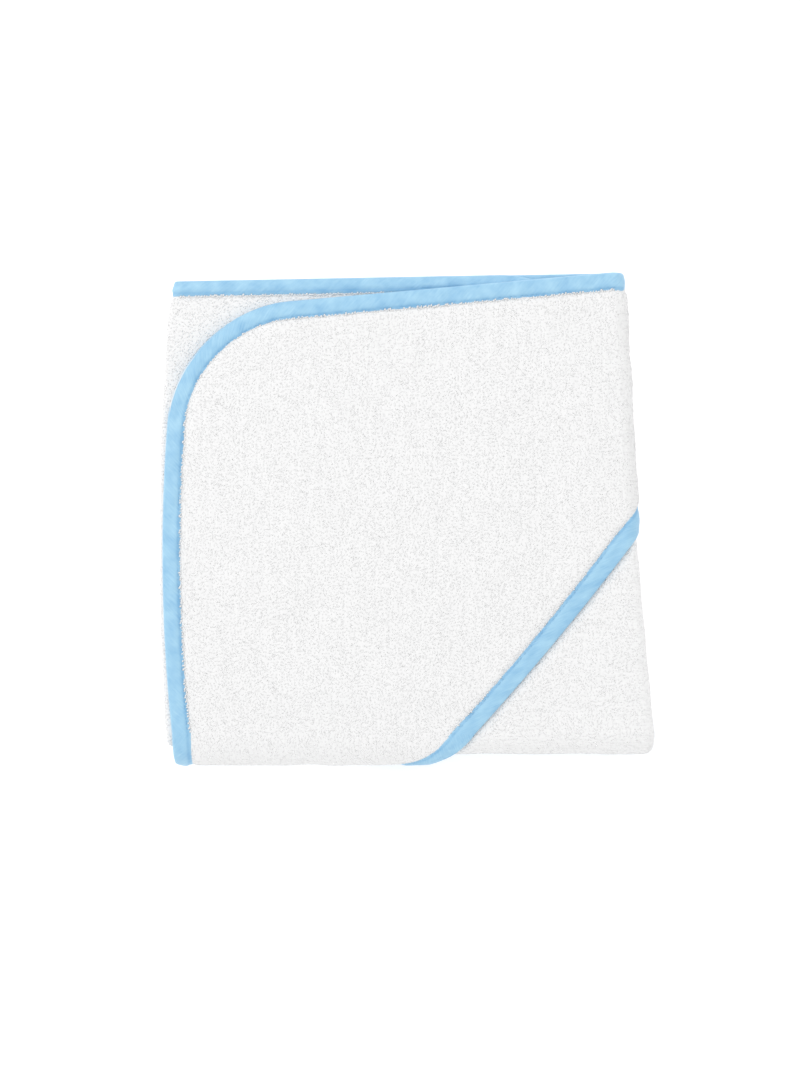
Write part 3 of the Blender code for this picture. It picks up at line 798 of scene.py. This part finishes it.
SIDE_TAPE_WIDTH = 8.2 * MM
TAPE_THICK = 2.8 * MM
TAPE_PLY = 0.35 * MM
TAPE_STEP = 1.5 * MM
TAPE_NOSE = 0.8
TAPE_CROWN = 0.5 * MM
TAPE_TUCK = 0.45 * MM
TAPE_TUCK_RUN = 1.6 * MM
PLY_POINTS = 13
NOSE_POINTS = 9
NOSE_PUCKER = 0.3
PUCKER = 0.22 * MM
PUCKER_LENGTHS = (4 * MM, 13 * MM)
CORNER_POINTS = 60
RIGHT_TURN_RINGS = 24
LEFT_TURN_RINGS = 16
HOOD_TIP_RUN = 14 * MM
HOOD_LEAVES_TAPE = (-1.3, 1.2)
HOOD_TAPE_STEP = 1 * MM
HOOD_TAPE_END_Y = TOP_RIGHT_Y - TAPE_WIDTH - TAPE_LAP
TIP_UNDER_TAPE = 1.1 * TAPE_WIDTH
TIP_ROOM = 2 * MM
SATIN_BLUE = (0.38, 0.63, 0.80, 1)
SATIN_DEEP = (0.19, 0.42, 0.66, 1)
SEAM_INSET = 1.9 * MM
SEAM_WIDTH = 1.7 * MM
SEAM_DEPTH = 0.35 * MM

pucker_draw = np.random.default_rng(11)
pucker_ways = pucker_draw.normal(size=(WAVES, 3))
pucker_lengths = pucker_draw.uniform(*PUCKER_LENGTHS, WAVES)
pucker_ways *= (2 * math.pi / pucker_lengths / np.linalg.norm(pucker_ways, axis=1))[:, None]
pucker_starts = pucker_draw.uniform(0, 2 * math.pi, WAVES)


def satin(name):
    """Polyester satin on the bias: long smooth threads at 45 degrees, a soft gloss, faint streaks and clouds
    of tone, and shade painted darker along the stitched groove near the inner edge.
    """
    made = Shade(name)
    strip = made.node("ShaderNodeUVMap", {"uv_map": "Tape"})
    turned = made.node("ShaderNodeMapping", Vector=strip, Rotation=(0, 0, math.radians(45)))
    weave = {"Vector": turned, "Scale": 1.1 / MM / 2, "Distortion": 1.2}
    threads = made.node("ShaderNodeTexWave", {"wave_profile": "SIN"}, output=1, **weave)
    streaked = made.node("ShaderNodeMapping", Vector=turned, Scale=(2.2 / MM, 0.12 / MM, 1))
    streaks = made.node("ShaderNodeTexNoise", Vector=streaked, Scale=1.0, Detail=3.0)
    clouds = made.node("ShaderNodeTexNoise", Vector=strip, Scale=0.12 / MM, Detail=2.0)
    inward = made.node("ShaderNodeSeparateXYZ", output=1, Vector=strip)
    # Painted shade: the blue darkens in a band along the stitched groove near the inner edge, over random
    # streaks and clouds of tone.
    off_seam = made.node("ShaderNodeMath", {"operation": "ABSOLUTE"}, _0=inward - SEAM_INSET)
    fade = {"Value": off_seam, "From_Max": SEAM_WIDTH, "To_Min": 1, "To_Max": 0}
    painted_seam_shade = made.node("ShaderNodeMapRange", {"interpolation_type": "SMOOTHSTEP"}, **fade)
    tone_and_seam_shade = streaks * 1.0 + clouds * 1.3 + painted_seam_shade * 0.4 - 0.8
    blue = made.mixed(tone_and_seam_shade, SATIN_BLUE, SATIN_DEEP)
    bump = made.node("ShaderNodeBump", Strength=0.25, Distance=0.12 * MM, Height=threads * 0.4 + streaks)
    surface = made.node(
        "ShaderNodeBsdfPrincipled",
        Base_Color=blue,
        Roughness=streaks * 0.12 + 0.38,
        Normal=bump,
        Sheen_Weight=0.1,
        Specular_IOR_Level=0.35,
        Anisotropic=0.3,
    )
    return made.finish(surface)


edge_satin = satin("edge_binding")
hood_satin = satin("hood_binding")


def tape_profile(below, above, width=TAPE_WIDTH):
    """The folded tape's section: rows of how far in, how far along the normal, and the share of pucker.

    The outer face comes first, from the top ply round the nose to the under ply, and the inner face last.
    """
    middle = (above - below) / 2
    half = (above + below) / 2
    round_off = half * TAPE_NOSE
    flat = np.linspace(width, round_off, PLY_POINTS)
    crown = np.abs(np.sin(math.pi * (width - flat) / (width - round_off))) ** 0.7
    tuck = TAPE_TUCK * (1 - rise(width - flat, 0, TAPE_TUCK_RUN))
    tuck += SEAM_DEPTH * np.exp(-(((width - flat - SEAM_INSET) / (SEAM_WIDTH / 2)) ** 2))
    top = spots(flat, above - tuck + TAPE_CROWN * crown, NOSE_PUCKER + (1 - NOSE_PUCKER) * crown)
    turn = np.linspace(math.pi / 2, 3 * math.pi / 2, NOSE_POINTS)[1:-1]
    nose = spots(round_off * (1 + np.cos(turn)), middle + half * np.sin(turn), NOSE_PUCKER)
    under = spots(flat[::-1], -below, 0)
    outer = np.concatenate([top, nose, under])
    inner = outer.copy()
    inner[:, 0] = np.maximum(outer[:, 0], TAPE_PLY)
    inner[:, 1] = np.clip(outer[:, 1], TAPE_PLY - below, None)
    inner[:, 1] = np.minimum(inner[:, 1], outer[:, 1] - TAPE_PLY * np.sign(outer[:, 1] - middle))
    inner[len(top) + len(nose):, 1] = TAPE_PLY - below
    return np.concatenate([outer, inner[::-1]])


def puckered(points, section):
    """How far along its normal each of these points on a tape's section stands, with its small puckers."""
    return section[:, 1] + PUCKER * uneven(points, pucker_ways, pucker_starts) * section[:, 2]


def tape(name, rings, made_of):
    """A closed tape from rings of points, with its length and width as a UV map for the weave."""
    rings = np.array(rings)
    count, around = rings.shape[:2]
    ids = np.arange(count * around).reshape(count, around)
    after = np.roll(ids, -1, axis=1)
    quads = np.stack([ids[:-1], after[:-1], after[1:], ids[1:]], axis=-1).reshape(-1, 4)
    caps = []
    for ring, way in ((ids[0], 1), (ids[-1], -1)):
        for i in range(around // 2 - 1):
            caps.append([ring[i], ring[i + 1], ring[around - 2 - i], ring[around - 1 - i]][::way])
    item = mesh_of(name, rings.reshape(-1, 3), np.concatenate([quads, np.array(caps)]), made_of)
    length = np.concatenate([[0], np.cumsum(np.linalg.norm(np.diff(rings[:, 0], axis=0), axis=1))])
    width = np.concatenate([[0], np.cumsum(np.linalg.norm(np.diff(rings[0], axis=0), axis=1))])
    flat = np.stack([np.repeat(length, around), np.tile(width, count)], axis=-1)
    corners = np.empty(len(item.data.loops), np.int32)
    item.data.loops.foreach_get("vertex_index", corners)
    item.data.uv_layers.new(name="Tape").data.foreach_set("uv", flat[corners].astype(np.float32).ravel())
    face_outwards(item)
    return item


def shaped(third, at, inward, height, normal, profile, fold_line=None):
    """The tape's section at one place on a third. At a fold across the strip it keeps to the fold's line."""
    across = profile[:, 0]
    y = at[1] + inward[1] * across
    x = at[0] + inward[0] * across
    if fold_line:
        x = x + fold_line(y) - fold_line(at[1])
    along = puckered(spots(x, y, third.level(height)), profile)
    return spots(x + normal[0] * along, y, third.level(height + normal[1] * along))


def steps(first, last, step=TAPE_STEP):
    """Even places from the first to the last, about this step apart."""
    return np.linspace(first, last, max(1, round(abs(last - first) / step)) + 1)


corner_offsets = [CORNER_RADIUS * (1 - math.cos(a)) for a in np.linspace(0, math.pi / 2, CORNER_POINTS)]


def inwards(points, sign):
    """The direction into the cloth at each plan point of a run that has the cloth on its right."""
    ways = np.gradient(np.array(points), axis=0)
    ways /= np.linalg.norm(ways, axis=1)[:, None] * sign
    return np.stack([ways[:, 1], -ways[:, 0]], axis=-1)


def front_run(third):
    """The front panel's bound edge, from the cross fold round the corner to the right fold."""
    sign = third.sign
    corner_start = float(third.front_end(third.front_edge(third.end_y))) - sign * CORNER_RADIUS
    points = [(third.front_edge(y), y) for y in steps(third.start_y, corner_start)[:-1]]
    for offset in corner_offsets:
        drop = float(corner_drop(offset))
        x = third.front_edge(corner_start + sign * (CORNER_RADIUS - drop)) + offset
        points.append((x, float(third.front_end(x)) - sign * drop))
    right = third.right(float(third.front_end(TOP_RIGHT_X)))
    points += [(x, float(third.front_end(x))) for x in steps(points[-1][0], right)[1:]]
    ways = inwards(points, sign)
    ways[0] = (1, 0)
    return points, ways


def side_run(third):
    """The side panel's bound edge, from the left fold round its corner to the cross fold."""
    sign = third.sign
    last = third.side_edge(third.end_y)
    left = third.left(float(third.back_end(third.left(third.end_y))))
    points = [(x, float(third.back_end(x))) for x in steps(left, last - CORNER_RADIUS)[:-1]]
    corner_start = float(third.back_end(last)) - sign * CORNER_RADIUS
    for offset in corner_offsets[::-1]:
        drop = float(corner_drop(offset))
        x = third.side_edge(corner_start + sign * (CORNER_RADIUS - drop)) - offset
        points.append((x, float(third.back_end(x)) - sign * drop))
    points += [(third.side_edge(y), y) for y in steps(corner_start, third.start_y)[1:]]
    ways = inwards(points, sign)
    ways[-1] = (-1, 0)
    return points, ways


HALF_TAPE = TAPE_THICK / 2
HOODED_TAPE = HOOD - FRONT + HOOD_TAPE_THICK / 2
HALF_HOOD_TAPE = HOOD_TAPE_THICK / 2
plain_profile = tape_profile(HALF_TAPE, HALF_TAPE)
hooded_profile = tape_profile(HALF_TAPE, HOODED_TAPE)
hood_profile = tape_profile(HALF_HOOD_TAPE, HALF_HOOD_TAPE)
side_profile = tape_profile(HALF_TAPE, HALF_TAPE, SIDE_TAPE_WIDTH)


def end_tape(third, front):
    """The binding of a third with a free end: one tape round its front, back and side panels' edges."""
    points, ways = front_run(third)
    rings = [shaped(third, at, way, FRONT, (0, 1), front) for at, way in zip(points, ways)]
    end = points[-1]
    for angle in np.linspace(math.pi / 2, -math.pi / 2, RIGHT_TURN_RINGS)[1:]:
        normal = (math.cos(angle), math.sin(angle))
        at = (end[0] + PITCH * normal[0], end[1])
        held = mix(plain_profile, front, rise(angle, *HOOD_LEAVES_TAPE))
        rings.append(shaped(third, at, (0, -third.sign), SIDE + PITCH * normal[1], normal, held, third.right))
    points, ways = side_run(third)
    start = points[0]
    for x in steps(end[0], start[0])[1:-1]:
        share = (x - end[0]) / (start[0] - end[0])
        at = (x, mix(end[1], start[1], share))
        held = mix(plain_profile, side_profile, share)
        rings.append(shaped(third, at, (0, -third.sign), BACK, (0, -1), held))
    for angle in np.linspace(-math.pi / 2, -3 * math.pi / 2, LEFT_TURN_RINGS):
        normal = (math.cos(angle), math.sin(angle))
        at = (start[0] + PITCH / 2 * normal[0], start[1])
        height = (BACK + SIDE) / 2 + PITCH / 2 * normal[1]
        rings.append(shaped(third, at, (0, -third.sign), height, normal, side_profile, third.left))
    for at, way in list(zip(points, ways))[1:]:
        rings.append(shaped(third, at, way, SIDE, (0, 1), side_profile))
    return rings


def folded_tape(fold, edge_at, into, height, profile):
    """The binding as it turns round a cross fold with the cloth that it holds. edge_at gives its edge's x."""
    rings = []
    for share in np.linspace(0, 1, CROSS_FOLD_STEPS + 1):
        x = edge_at(share) + into * profile[:, 0]
        along = puckered(spots(x, *fold(share, height + 0 * x)), profile)
        rings.append(spots(x, *fold(share, height + along)))
    return rings


hood_meets_edge = NEAR_FOLD_Y + (HOOD_PAST_FOLD_X - MIDDLE.front_edge(0)) * HOOD_EDGE_SLOPE


def past_hood(y):
    """0 where the middle third's front tape also holds the hood, and 1 past the hood's point."""
    return rise(y, hood_meets_edge - HOOD_TIP, HOOD_TIP_RUN)


middle_front = []
middle_side = []
for y in steps(NEAR_FOLD_Y, FAR_FOLD_Y):
    held = mix(hooded_profile, plain_profile, past_hood(y))
    middle_front.append(shaped(MIDDLE, (MIDDLE.front_edge(y), y), (1, 0), FRONT, (0, 1), held))
    middle_side.append(shaped(MIDDLE, (MIDDLE.side_edge(y), y), (-1, 0), SIDE, (0, 1), side_profile))

upper_hood_rings = []
for y in steps(NEAR_FOLD_Y, HOOD_TAPE_END_Y, HOOD_TAPE_STEP):
    strip = hood_edge_x(y) - UPPER.right(y) - hood_profile[:, 0] * HOOD_EDGE_SKEW
    along = puckered(hood_place(strip, y, HOOD), hood_profile)
    upper_hood_rings.append(hood_place(strip, y, HOOD + along))
middle_hood_rings = []
for y in steps(NEAR_FOLD_Y, hood_meets_edge - TIP_UNDER_TAPE):
    at = (middle_hood_edge_x(y), y)
    room = (at[0] - MIDDLE.front_edge(y) - TIP_ROOM) / TAPE_WIDTH
    middle_hood_rings.append(shaped(MIDDLE, at, (-min(HOOD_EDGE_SKEW, room), 0), HOOD, (0, 1), hood_profile))

tape_of = {}
for name, rings, body, kind, made_of in (
    ("upper_edge", end_tape(UPPER, hooded_profile), "upper_third", "edge_binding", edge_satin),
    ("lower_edge", end_tape(LOWER, plain_profile), "lower_third", "edge_binding", edge_satin),
    ("middle_front", middle_front, "middle_third", "edge_binding", edge_satin),
    ("middle_side", middle_side, "middle_third", "edge_binding", edge_satin),
    ("upper_hood", upper_hood_rings, "upper_third", "hood_binding", hood_satin),
    ("middle_hood", middle_hood_rings, "middle_third", "hood_binding", hood_satin),
):
    tape_of[name] = tape(name + "_tape", rings, made_of)
    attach(tape_of[name], body)
    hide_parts(name + "_binding")

for name, fold, first, second, y, front in (
    ("near_fold", near_fold, UPPER, MIDDLE, NEAR_FOLD_Y, hooded_profile),
    ("far_fold", far_fold, MIDDLE, LOWER, FAR_FOLD_Y, plain_profile),
):
    for panel, edge_of, into, height, profile in (
        ("front", Third.front_edge, 1, FRONT, front),
        ("side", Third.side_edge, -1, SIDE, side_profile),
    ):
        edges = (edge_of(first, y), edge_of(second, y))
        rings = folded_tape(fold, lambda share, ends=edges: mix(*ends, share), into, height, profile)
        piece = tape(f"{name}_{panel}_tape", rings, edge_satin)
        bend_with(piece, fold, HOOD_TURNS_WITHIN if fold is near_fold else WHOLE_FOLD - height - HALF_TAPE)
        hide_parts(f"{name}_{panel}_binding")
        tape_of[f"{name}_{panel}"] = piece

rings = folded_tape(near_fold, hood_edge_round_fold, -HOOD_EDGE_SKEW, HOOD, hood_profile)
piece = tape("near_fold_hood_tape", rings, hood_satin)
bend_with(piece, near_fold, HOOD_TURNS_WITHIN)
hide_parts("near_fold_hood_binding")
tape_of["near_fold_hood"] = piece

# ---------------------------------------------------------------------------------------------------------
# Stitching. One row of lockstitch in pale blue thread runs along the tape, near its inner edge. Each stitch
# is a short thread pulled a little into the satin.

STITCH_LENGTH = 2.3 * MM
STITCH_GAP = 0.6 * MM
THREAD_THICK = 0.38 * MM
THREAD_BLUE = (0.27, 0.48, 0.66, 1)
THREAD_LIFT = 0.02 * MM
THREAD_PUCKER = 0.5
HOOD_STITCHES_END_Y = -18 * MM


def thread_finish():
    """Polyester sewing thread, a little deeper in colour than the tape, with a fine twist."""
    made = Shade("thread")
    place = made.node("ShaderNodeTexCoord", output=3)
    ply = made.node("ShaderNodeTexNoise", Vector=place, Scale=3 / MM, Detail=2.0)
    colour = made.mixed(ply, THREAD_BLUE, SATIN_DEEP)
    bump = made.node("ShaderNodeBump", Strength=0.3, Distance=0.1 * MM, Height=ply)
    surface = made.node("ShaderNodeBsdfPrincipled", Base_Color=colour, Roughness=0.55, Normal=bump)
    return made.finish(surface)


thread = thread_finish()


def spindle(name, length, width, thick, made_of):
    """A small closed grain with pointed ends along X: six points, eight faces."""
    x, y, z = length / 2, width / 2, thick / 2
    mesh = bpy.data.meshes.new(name)
    points = [(-x, 0, 0), (x, 0, 0), (0, -y, 0), (0, y, 0), (0, 0, -z), (0, 0, z)]
    faces = [(1, 3, 5), (3, 0, 5), (0, 2, 5), (2, 1, 5), (3, 1, 4), (0, 3, 4), (2, 0, 4), (1, 2, 4)]
    mesh.from_pydata(points, [], faces)
    mesh.shade_smooth()
    mesh.materials.append(made_of)
    return put(name, mesh)


def new_tree(name, sizes):
    """An empty Geometry Nodes tree with a geometry in and out, and a named input for each size."""
    tree = bpy.data.node_groups.new(name, "GeometryNodeTree")
    tree.interface.new_socket("Geometry", in_out="OUTPUT", socket_type="NodeSocketGeometry")
    tree.interface.new_socket("Geometry", in_out="INPUT", socket_type="NodeSocketGeometry")
    for size, kind in sizes.items():
        tree.interface.new_socket(size, in_out="INPUT", socket_type=kind)
    return tree


def grown(name, base, tree, values):
    """What the tree makes on the base object, as a plain mesh object. The base is removed."""
    modifier = base.modifiers.new(name, "NODES")
    modifier.node_group = tree
    for socket in tree.interface.items_tree:
        if socket.in_out == "INPUT" and socket.name in values:
            modifier[socket.identifier] = values[socket.name]
    depsgraph = bpy.context.evaluated_depsgraph_get()
    mesh = bpy.data.meshes.new_from_object(base.evaluated_get(depsgraph))
    base.modifiers.clear()
    mesh.name = name
    item = put(name, mesh)
    bpy.data.objects.remove(base)
    return item


def realized(tree, points, item, turn, yarn, **more):
    """Ends a tree: a real copy of the item on each point, turned and in this material."""
    copies = {"Points": points, "Instance": item, "Rotation": turn, **more}
    row = add(tree, "GeometryNodeInstanceOnPoints", **copies)
    real = add(tree, "GeometryNodeRealizeInstances", Geometry=row.outputs[0])
    painted = add(tree, "GeometryNodeSetMaterial", Geometry=real.outputs[0], Material=yarn)
    add(tree, "NodeGroupOutput", Geometry=painted.outputs[0])
    return tree


def stitch_tree():
    """Geometry Nodes that set one stitch after the other along a line."""
    tree = new_tree("stitch_row", {"Stitch": "NodeSocketObject", "Spacing": "NodeSocketFloat"})
    given = add(tree, "NodeGroupInput").outputs
    curve = add(tree, "GeometryNodeMeshToCurve", Mesh=given["Geometry"])
    line = {"Curve": curve.outputs[0], "Length": given["Spacing"]}
    even = add(tree, "GeometryNodeResampleCurve", {"mode": "LENGTH"}, **line)
    way = add(tree, "GeometryNodeInputTangent")
    turn = add(tree, "FunctionNodeAlignRotationToVector", {"axis": "X"}, Vector=way.outputs[0])
    stitch = add(tree, "GeometryNodeObjectInfo", Object=given["Stitch"])
    return realized(tree, even.outputs[0], stitch.outputs["Geometry"], turn.outputs[0], thread)


stitch_row = stitch_tree()
one_stitch = spindle("one_stitch", STITCH_LENGTH, THREAD_THICK, THREAD_THICK, thread)


def stitching(edge, body, line):
    """The row of stitches along a line, on its third of the strip."""
    mesh = bpy.data.meshes.new(edge + "_line")
    mesh.from_pydata([tuple(p) for p in line], [(i, i + 1) for i in range(len(line) - 1)], [])
    values = {"Stitch": one_stitch, "Spacing": STITCH_LENGTH + STITCH_GAP}
    piece = grown(edge + "_stitches", put(edge + "_line", mesh), stitch_row, values)
    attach(piece, body)
    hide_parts(edge + "_stitching")
    return piece


def on_tape(inset, above, width=TAPE_WIDTH):
    """One spot of a tape's section, this far out from its inner edge."""
    return np.array([[width - inset, above, THREAD_PUCKER]])


def tape_line(third, run, height, spot):
    """A line along a tape's run, as points at one spot of its section."""
    return [shaped(third, at, way, height, (0, 1), spot)[0] for at, way in zip(*run)]


line = tape_line(UPPER, front_run(UPPER), FRONT, on_tape(SEAM_INSET, HOODED_TAPE + THREAD_LIFT))
upper_stitching = stitching("upper_edge", "upper_third", line)
line = tape_line(LOWER, front_run(LOWER), FRONT, on_tape(SEAM_INSET, HALF_TAPE + THREAD_LIFT))
lower_stitching = stitching("lower_edge", "lower_third", line)
line = []
for y in steps(NEAR_FOLD_Y, FAR_FOLD_Y):
    spot = on_tape(SEAM_INSET, mix(HOODED_TAPE, HALF_TAPE, past_hood(y)) + THREAD_LIFT)
    line.append(shaped(MIDDLE, (MIDDLE.front_edge(y), y), (1, 0), FRONT, (0, 1), spot)[0])
middle_stitching = stitching("middle_edge", "middle_third", line)
line = []
for y in steps(NEAR_FOLD_Y, HOOD_STITCHES_END_Y):
    spot = on_tape(SEAM_INSET, HALF_HOOD_TAPE + THREAD_LIFT)
    strip = hood_edge_x(y) - UPPER.right(y) - spot[0, 0] * HOOD_EDGE_SKEW
    along = puckered(hood_place(strip, y, HOOD), spot)[0]
    line.append(hood_place(strip, y, HOOD + along))
hood_stitching = stitching("upper_hood", "upper_third", line)
bpy.data.objects.remove(one_stitch)

# ---------------------------------------------------------------------------------------------------------
# Terry loops. The pile is of small cotton loops that lean every way. Each patch of loops grows on the outer
# side of its cloth, closest together on the hood, and falls a little over the inner edge of the tape.

LOOP_WIDTH = 0.95 * MM
LOOP_THICK = 0.5 * MM
LOOP_POINTS = 6
LOOP_SEED = 5
LOOP_LEAN = 0.22
LOOP_WANDER = 0.45
LOOP_SIZES = (0.75, 1.3)
SHOWN_SHARE = 0.06
PARTING_HALF = 0.9 * MM
LAY_ALONG = math.pi / 2
LAY_ACROSS = 0.0
LAY_FRINGE = 0.8

# Each pile is the least gap between its loops and their size
CLOSE_PILE = (1.02 * MM, 1.0)
WIDE_PILE = (1.9 * MM, 1.4)
FRINGE_PILE = (0.85 * MM, 1.05)
FRINGE_LIFT = 0.4 * MM
HOOD_FRINGE_END_Y = 0
FRINGE_INSETS = (-0.6 * MM, 0.3 * MM)
EDGE_FRINGE_INSETS = (0.1 * MM, 1.2 * MM)


def loop_tree():
    """Geometry Nodes that scatter one loop over a cloth: never closer than the gap, leaning every way."""
    sizes = {"Loop": "Object", "Gap": "Float", "Size": "Float", "Lay": "Float", "Yarn": "Material"}
    tree = new_tree("terry_loops", {size: "NodeSocket" + kind for size, kind in sizes.items()})
    given = add(tree, "NodeGroupInput").outputs
    most = add(tree, "ShaderNodeMath", {"operation": "POWER"}, _0=given["Gap"], _1=-2.0)
    spread = add(
        tree,
        "GeometryNodeDistributePointsOnFaces",
        {"distribute_method": "POISSON"},
        Mesh=given["Geometry"],
        Distance_Min=given["Gap"],
        Density_Max=most.outputs[0],
        Seed=LOOP_SEED,
    )
    lean = add(tree, "FunctionNodeRandomValue", {"data_type": "FLOAT_VECTOR"}, Seed=LOOP_SEED + 1)
    lean.inputs[0].default_value = (-LOOP_LEAN, -LOOP_LEAN, -LOOP_WANDER)
    lean.inputs[1].default_value = (LOOP_LEAN, LOOP_LEAN, LOOP_WANDER)
    lay = add(tree, "ShaderNodeCombineXYZ", Z=given["Lay"])
    way = add(tree, "ShaderNodeVectorMath", {"operation": "ADD"}, _0=lean.outputs[0], _1=lay.outputs[0])
    up = add(tree, "FunctionNodeAlignRotationToVector", {"axis": "Z"}, Vector=spread.outputs["Normal"])
    turns = {"Rotation": up.outputs[0], "_1": way.outputs[0]}
    turn = add(tree, "FunctionNodeRotateRotation", {"rotation_space": "LOCAL"}, **turns)
    size = add(tree, "FunctionNodeRandomValue", {"data_type": "FLOAT"}, Seed=LOOP_SEED + 2)
    size.inputs[2].default_value, size.inputs[3].default_value = LOOP_SIZES
    scaled = add(tree, "ShaderNodeMath", {"operation": "MULTIPLY"}, _0=size.outputs[1], _1=given["Size"])
    loop = add(tree, "GeometryNodeObjectInfo", Object=given["Loop"]).outputs["Geometry"]
    points = spread.outputs["Points"]
    return realized(tree, points, loop, turn.outputs[0], given["Yarn"], Scale=scaled.outputs[0])


terry_loops = loop_tree()
one_loop = spindle("one_loop", LOOP_LENGTH, LOOP_WIDTH, LOOP_THICK, towel_terry)


def loops(name, outer, free, pile, lay, yarn, parting=None):
    """Loops where a cloth's outer side shows. None of them reaches across a parting at this height."""
    shows = free.reshape(-1)[grid_faces(*free.shape)].mean(axis=1) > SHOWN_SHARE
    ground = mesh_of(name + "_ground", outer.reshape(-1, 3), grid_faces(*free.shape)[shows], yarn)
    values = {"Loop": one_loop, "Gap": pile[0], "Size": pile[1], "Lay": lay, "Yarn": yarn}
    item = grown(name, ground, terry_loops, values)
    points = np.empty(len(item.data.vertices) * 3, np.float32)
    item.data.vertices.foreach_get("co", points)
    points = points.reshape(-1, 3)
    points[:, 2] = np.maximum(points[:, 2], PRESSED)
    if parting is not None:
        centre = points[:, 2].reshape(-1, LOOP_POINTS).mean(axis=1).repeat(LOOP_POINTS)
        away = np.maximum(np.abs(points[:, 2] - parting), PARTING_HALF)
        points[:, 2] = parting + np.where(centre > parting, away, -away)
    item.data.vertices.foreach_set("co", points.ravel())
    low, high = points.min(axis=0), points.max(axis=0)
    flat = ((points - low) / (high - low).max())[:, :2]
    corners = np.empty(len(item.data.loops), np.int32)
    item.data.loops.foreach_get("vertex_index", corners)
    item.data.uv_layers.new(name="OFBake").data.foreach_set("uv", flat[corners].ravel())
    return item


front_rows = len(panel_shares("front"))
back_start = front_rows + TURN_STEPS // 2
side_start = front_rows + TURN_STEPS + len(panel_shares("back")) - 1
hood_split = len(free_of["upper_hood"][1]) * 3 // 10
whole = slice(None)

# No loop grows at the very nose of the near fold, or on the lower third's back, which lies on the table
free_of["near_fold_hood"][1][:, CROSS_FOLD_STEPS // 2:CROSS_FOLD_STEPS // 2 + 2] = 0
free_of["lower"][1][back_start:side_start + 1] = 0

loops_on = {part: [] for part in free_of}
for name, part, rows, pile in (
    ("upper_hood_loops_left", "upper_hood", slice(0, hood_split + 1), CLOSE_PILE),
    ("upper_hood_loops_right", "upper_hood", slice(hood_split, None), CLOSE_PILE),
    ("near_fold_hood_loops", "near_fold_hood", whole, CLOSE_PILE),
    ("middle_hood_loops", "middle_hood", whole, WIDE_PILE),
    ("upper_front_loops", "upper", slice(0, back_start + 1), CLOSE_PILE),
    ("upper_side_loops", "upper", slice(side_start, None), CLOSE_PILE),
    ("upper_back_loops", "upper", slice(back_start, side_start + 1), WIDE_PILE),
    ("middle_towel_loops", "middle", whole, WIDE_PILE),
    ("lower_towel_loops", "lower", whole, WIDE_PILE),
    ("near_fold_loops", "near_fold", whole, CLOSE_PILE),
    ("far_fold_loops", "far_fold", whole, CLOSE_PILE),
):
    lay, yarn, kind = LAY_ACROSS, towel_terry, "towel_terry"
    if part.endswith("hood"):
        lay, yarn, kind = LAY_ALONG, hood_terry, "hood_terry"
    outer, free = free_of[part]
    parting = NEAR_FOLD_Z if part == "near_fold_hood" else None
    piece = loops(name, outer[rows], free[rows], pile, lay, yarn, parting)
    if part == "near_fold_hood":
        bend_with(piece, near_fold, HOOD_TURNS_WITHIN)
    elif part.endswith("fold"):
        bend_with(piece, near_fold if part == "near_fold" else far_fold)
    else:
        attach(piece, part.replace("_hood", "") + "_third")
    loops_on[part].append(piece)


def fringe(name, part, lines, yarn):
    """The loops that lean out over a tape's inner edge, between two lines along that edge."""
    ground = np.array(lines)
    piece = loops(name, ground, np.ones(ground.shape[:2]), FRINGE_PILE, LAY_FRINGE, yarn)
    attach(piece, "upper_third")
    loops_on[part].append(piece)


spots_on = [on_tape(inset, HOODED_TAPE + FRINGE_LIFT) for inset in EDGE_FRINGE_INSETS]
lines = [tape_line(UPPER, front_run(UPPER), FRONT, spot) for spot in spots_on]
fringe("upper_edge_fringe", "upper_hood", lines, hood_terry)
spots_on = [on_tape(inset, HALF_TAPE + FRINGE_LIFT, SIDE_TAPE_WIDTH) for inset in FRINGE_INSETS]
lines = [tape_line(UPPER, side_run(UPPER), SIDE, spot) for spot in spots_on]
fringe("upper_side_fringe", "upper", lines, towel_terry)
lines = []
for inset in FRINGE_INSETS:
    line = []
    for y in steps(NEAR_FOLD_Y, HOOD_FRINGE_END_Y):
        strip = hood_edge_x(y) - UPPER.right(y) - (TAPE_WIDTH - inset) * HOOD_EDGE_SKEW
        line.append(hood_place(strip, y, HOOD + HALF_HOOD_TAPE + FRINGE_LIFT))
    lines.append(line)
fringe("upper_hood_fringe", "upper_hood", lines, hood_terry)
bpy.data.objects.remove(one_loop)
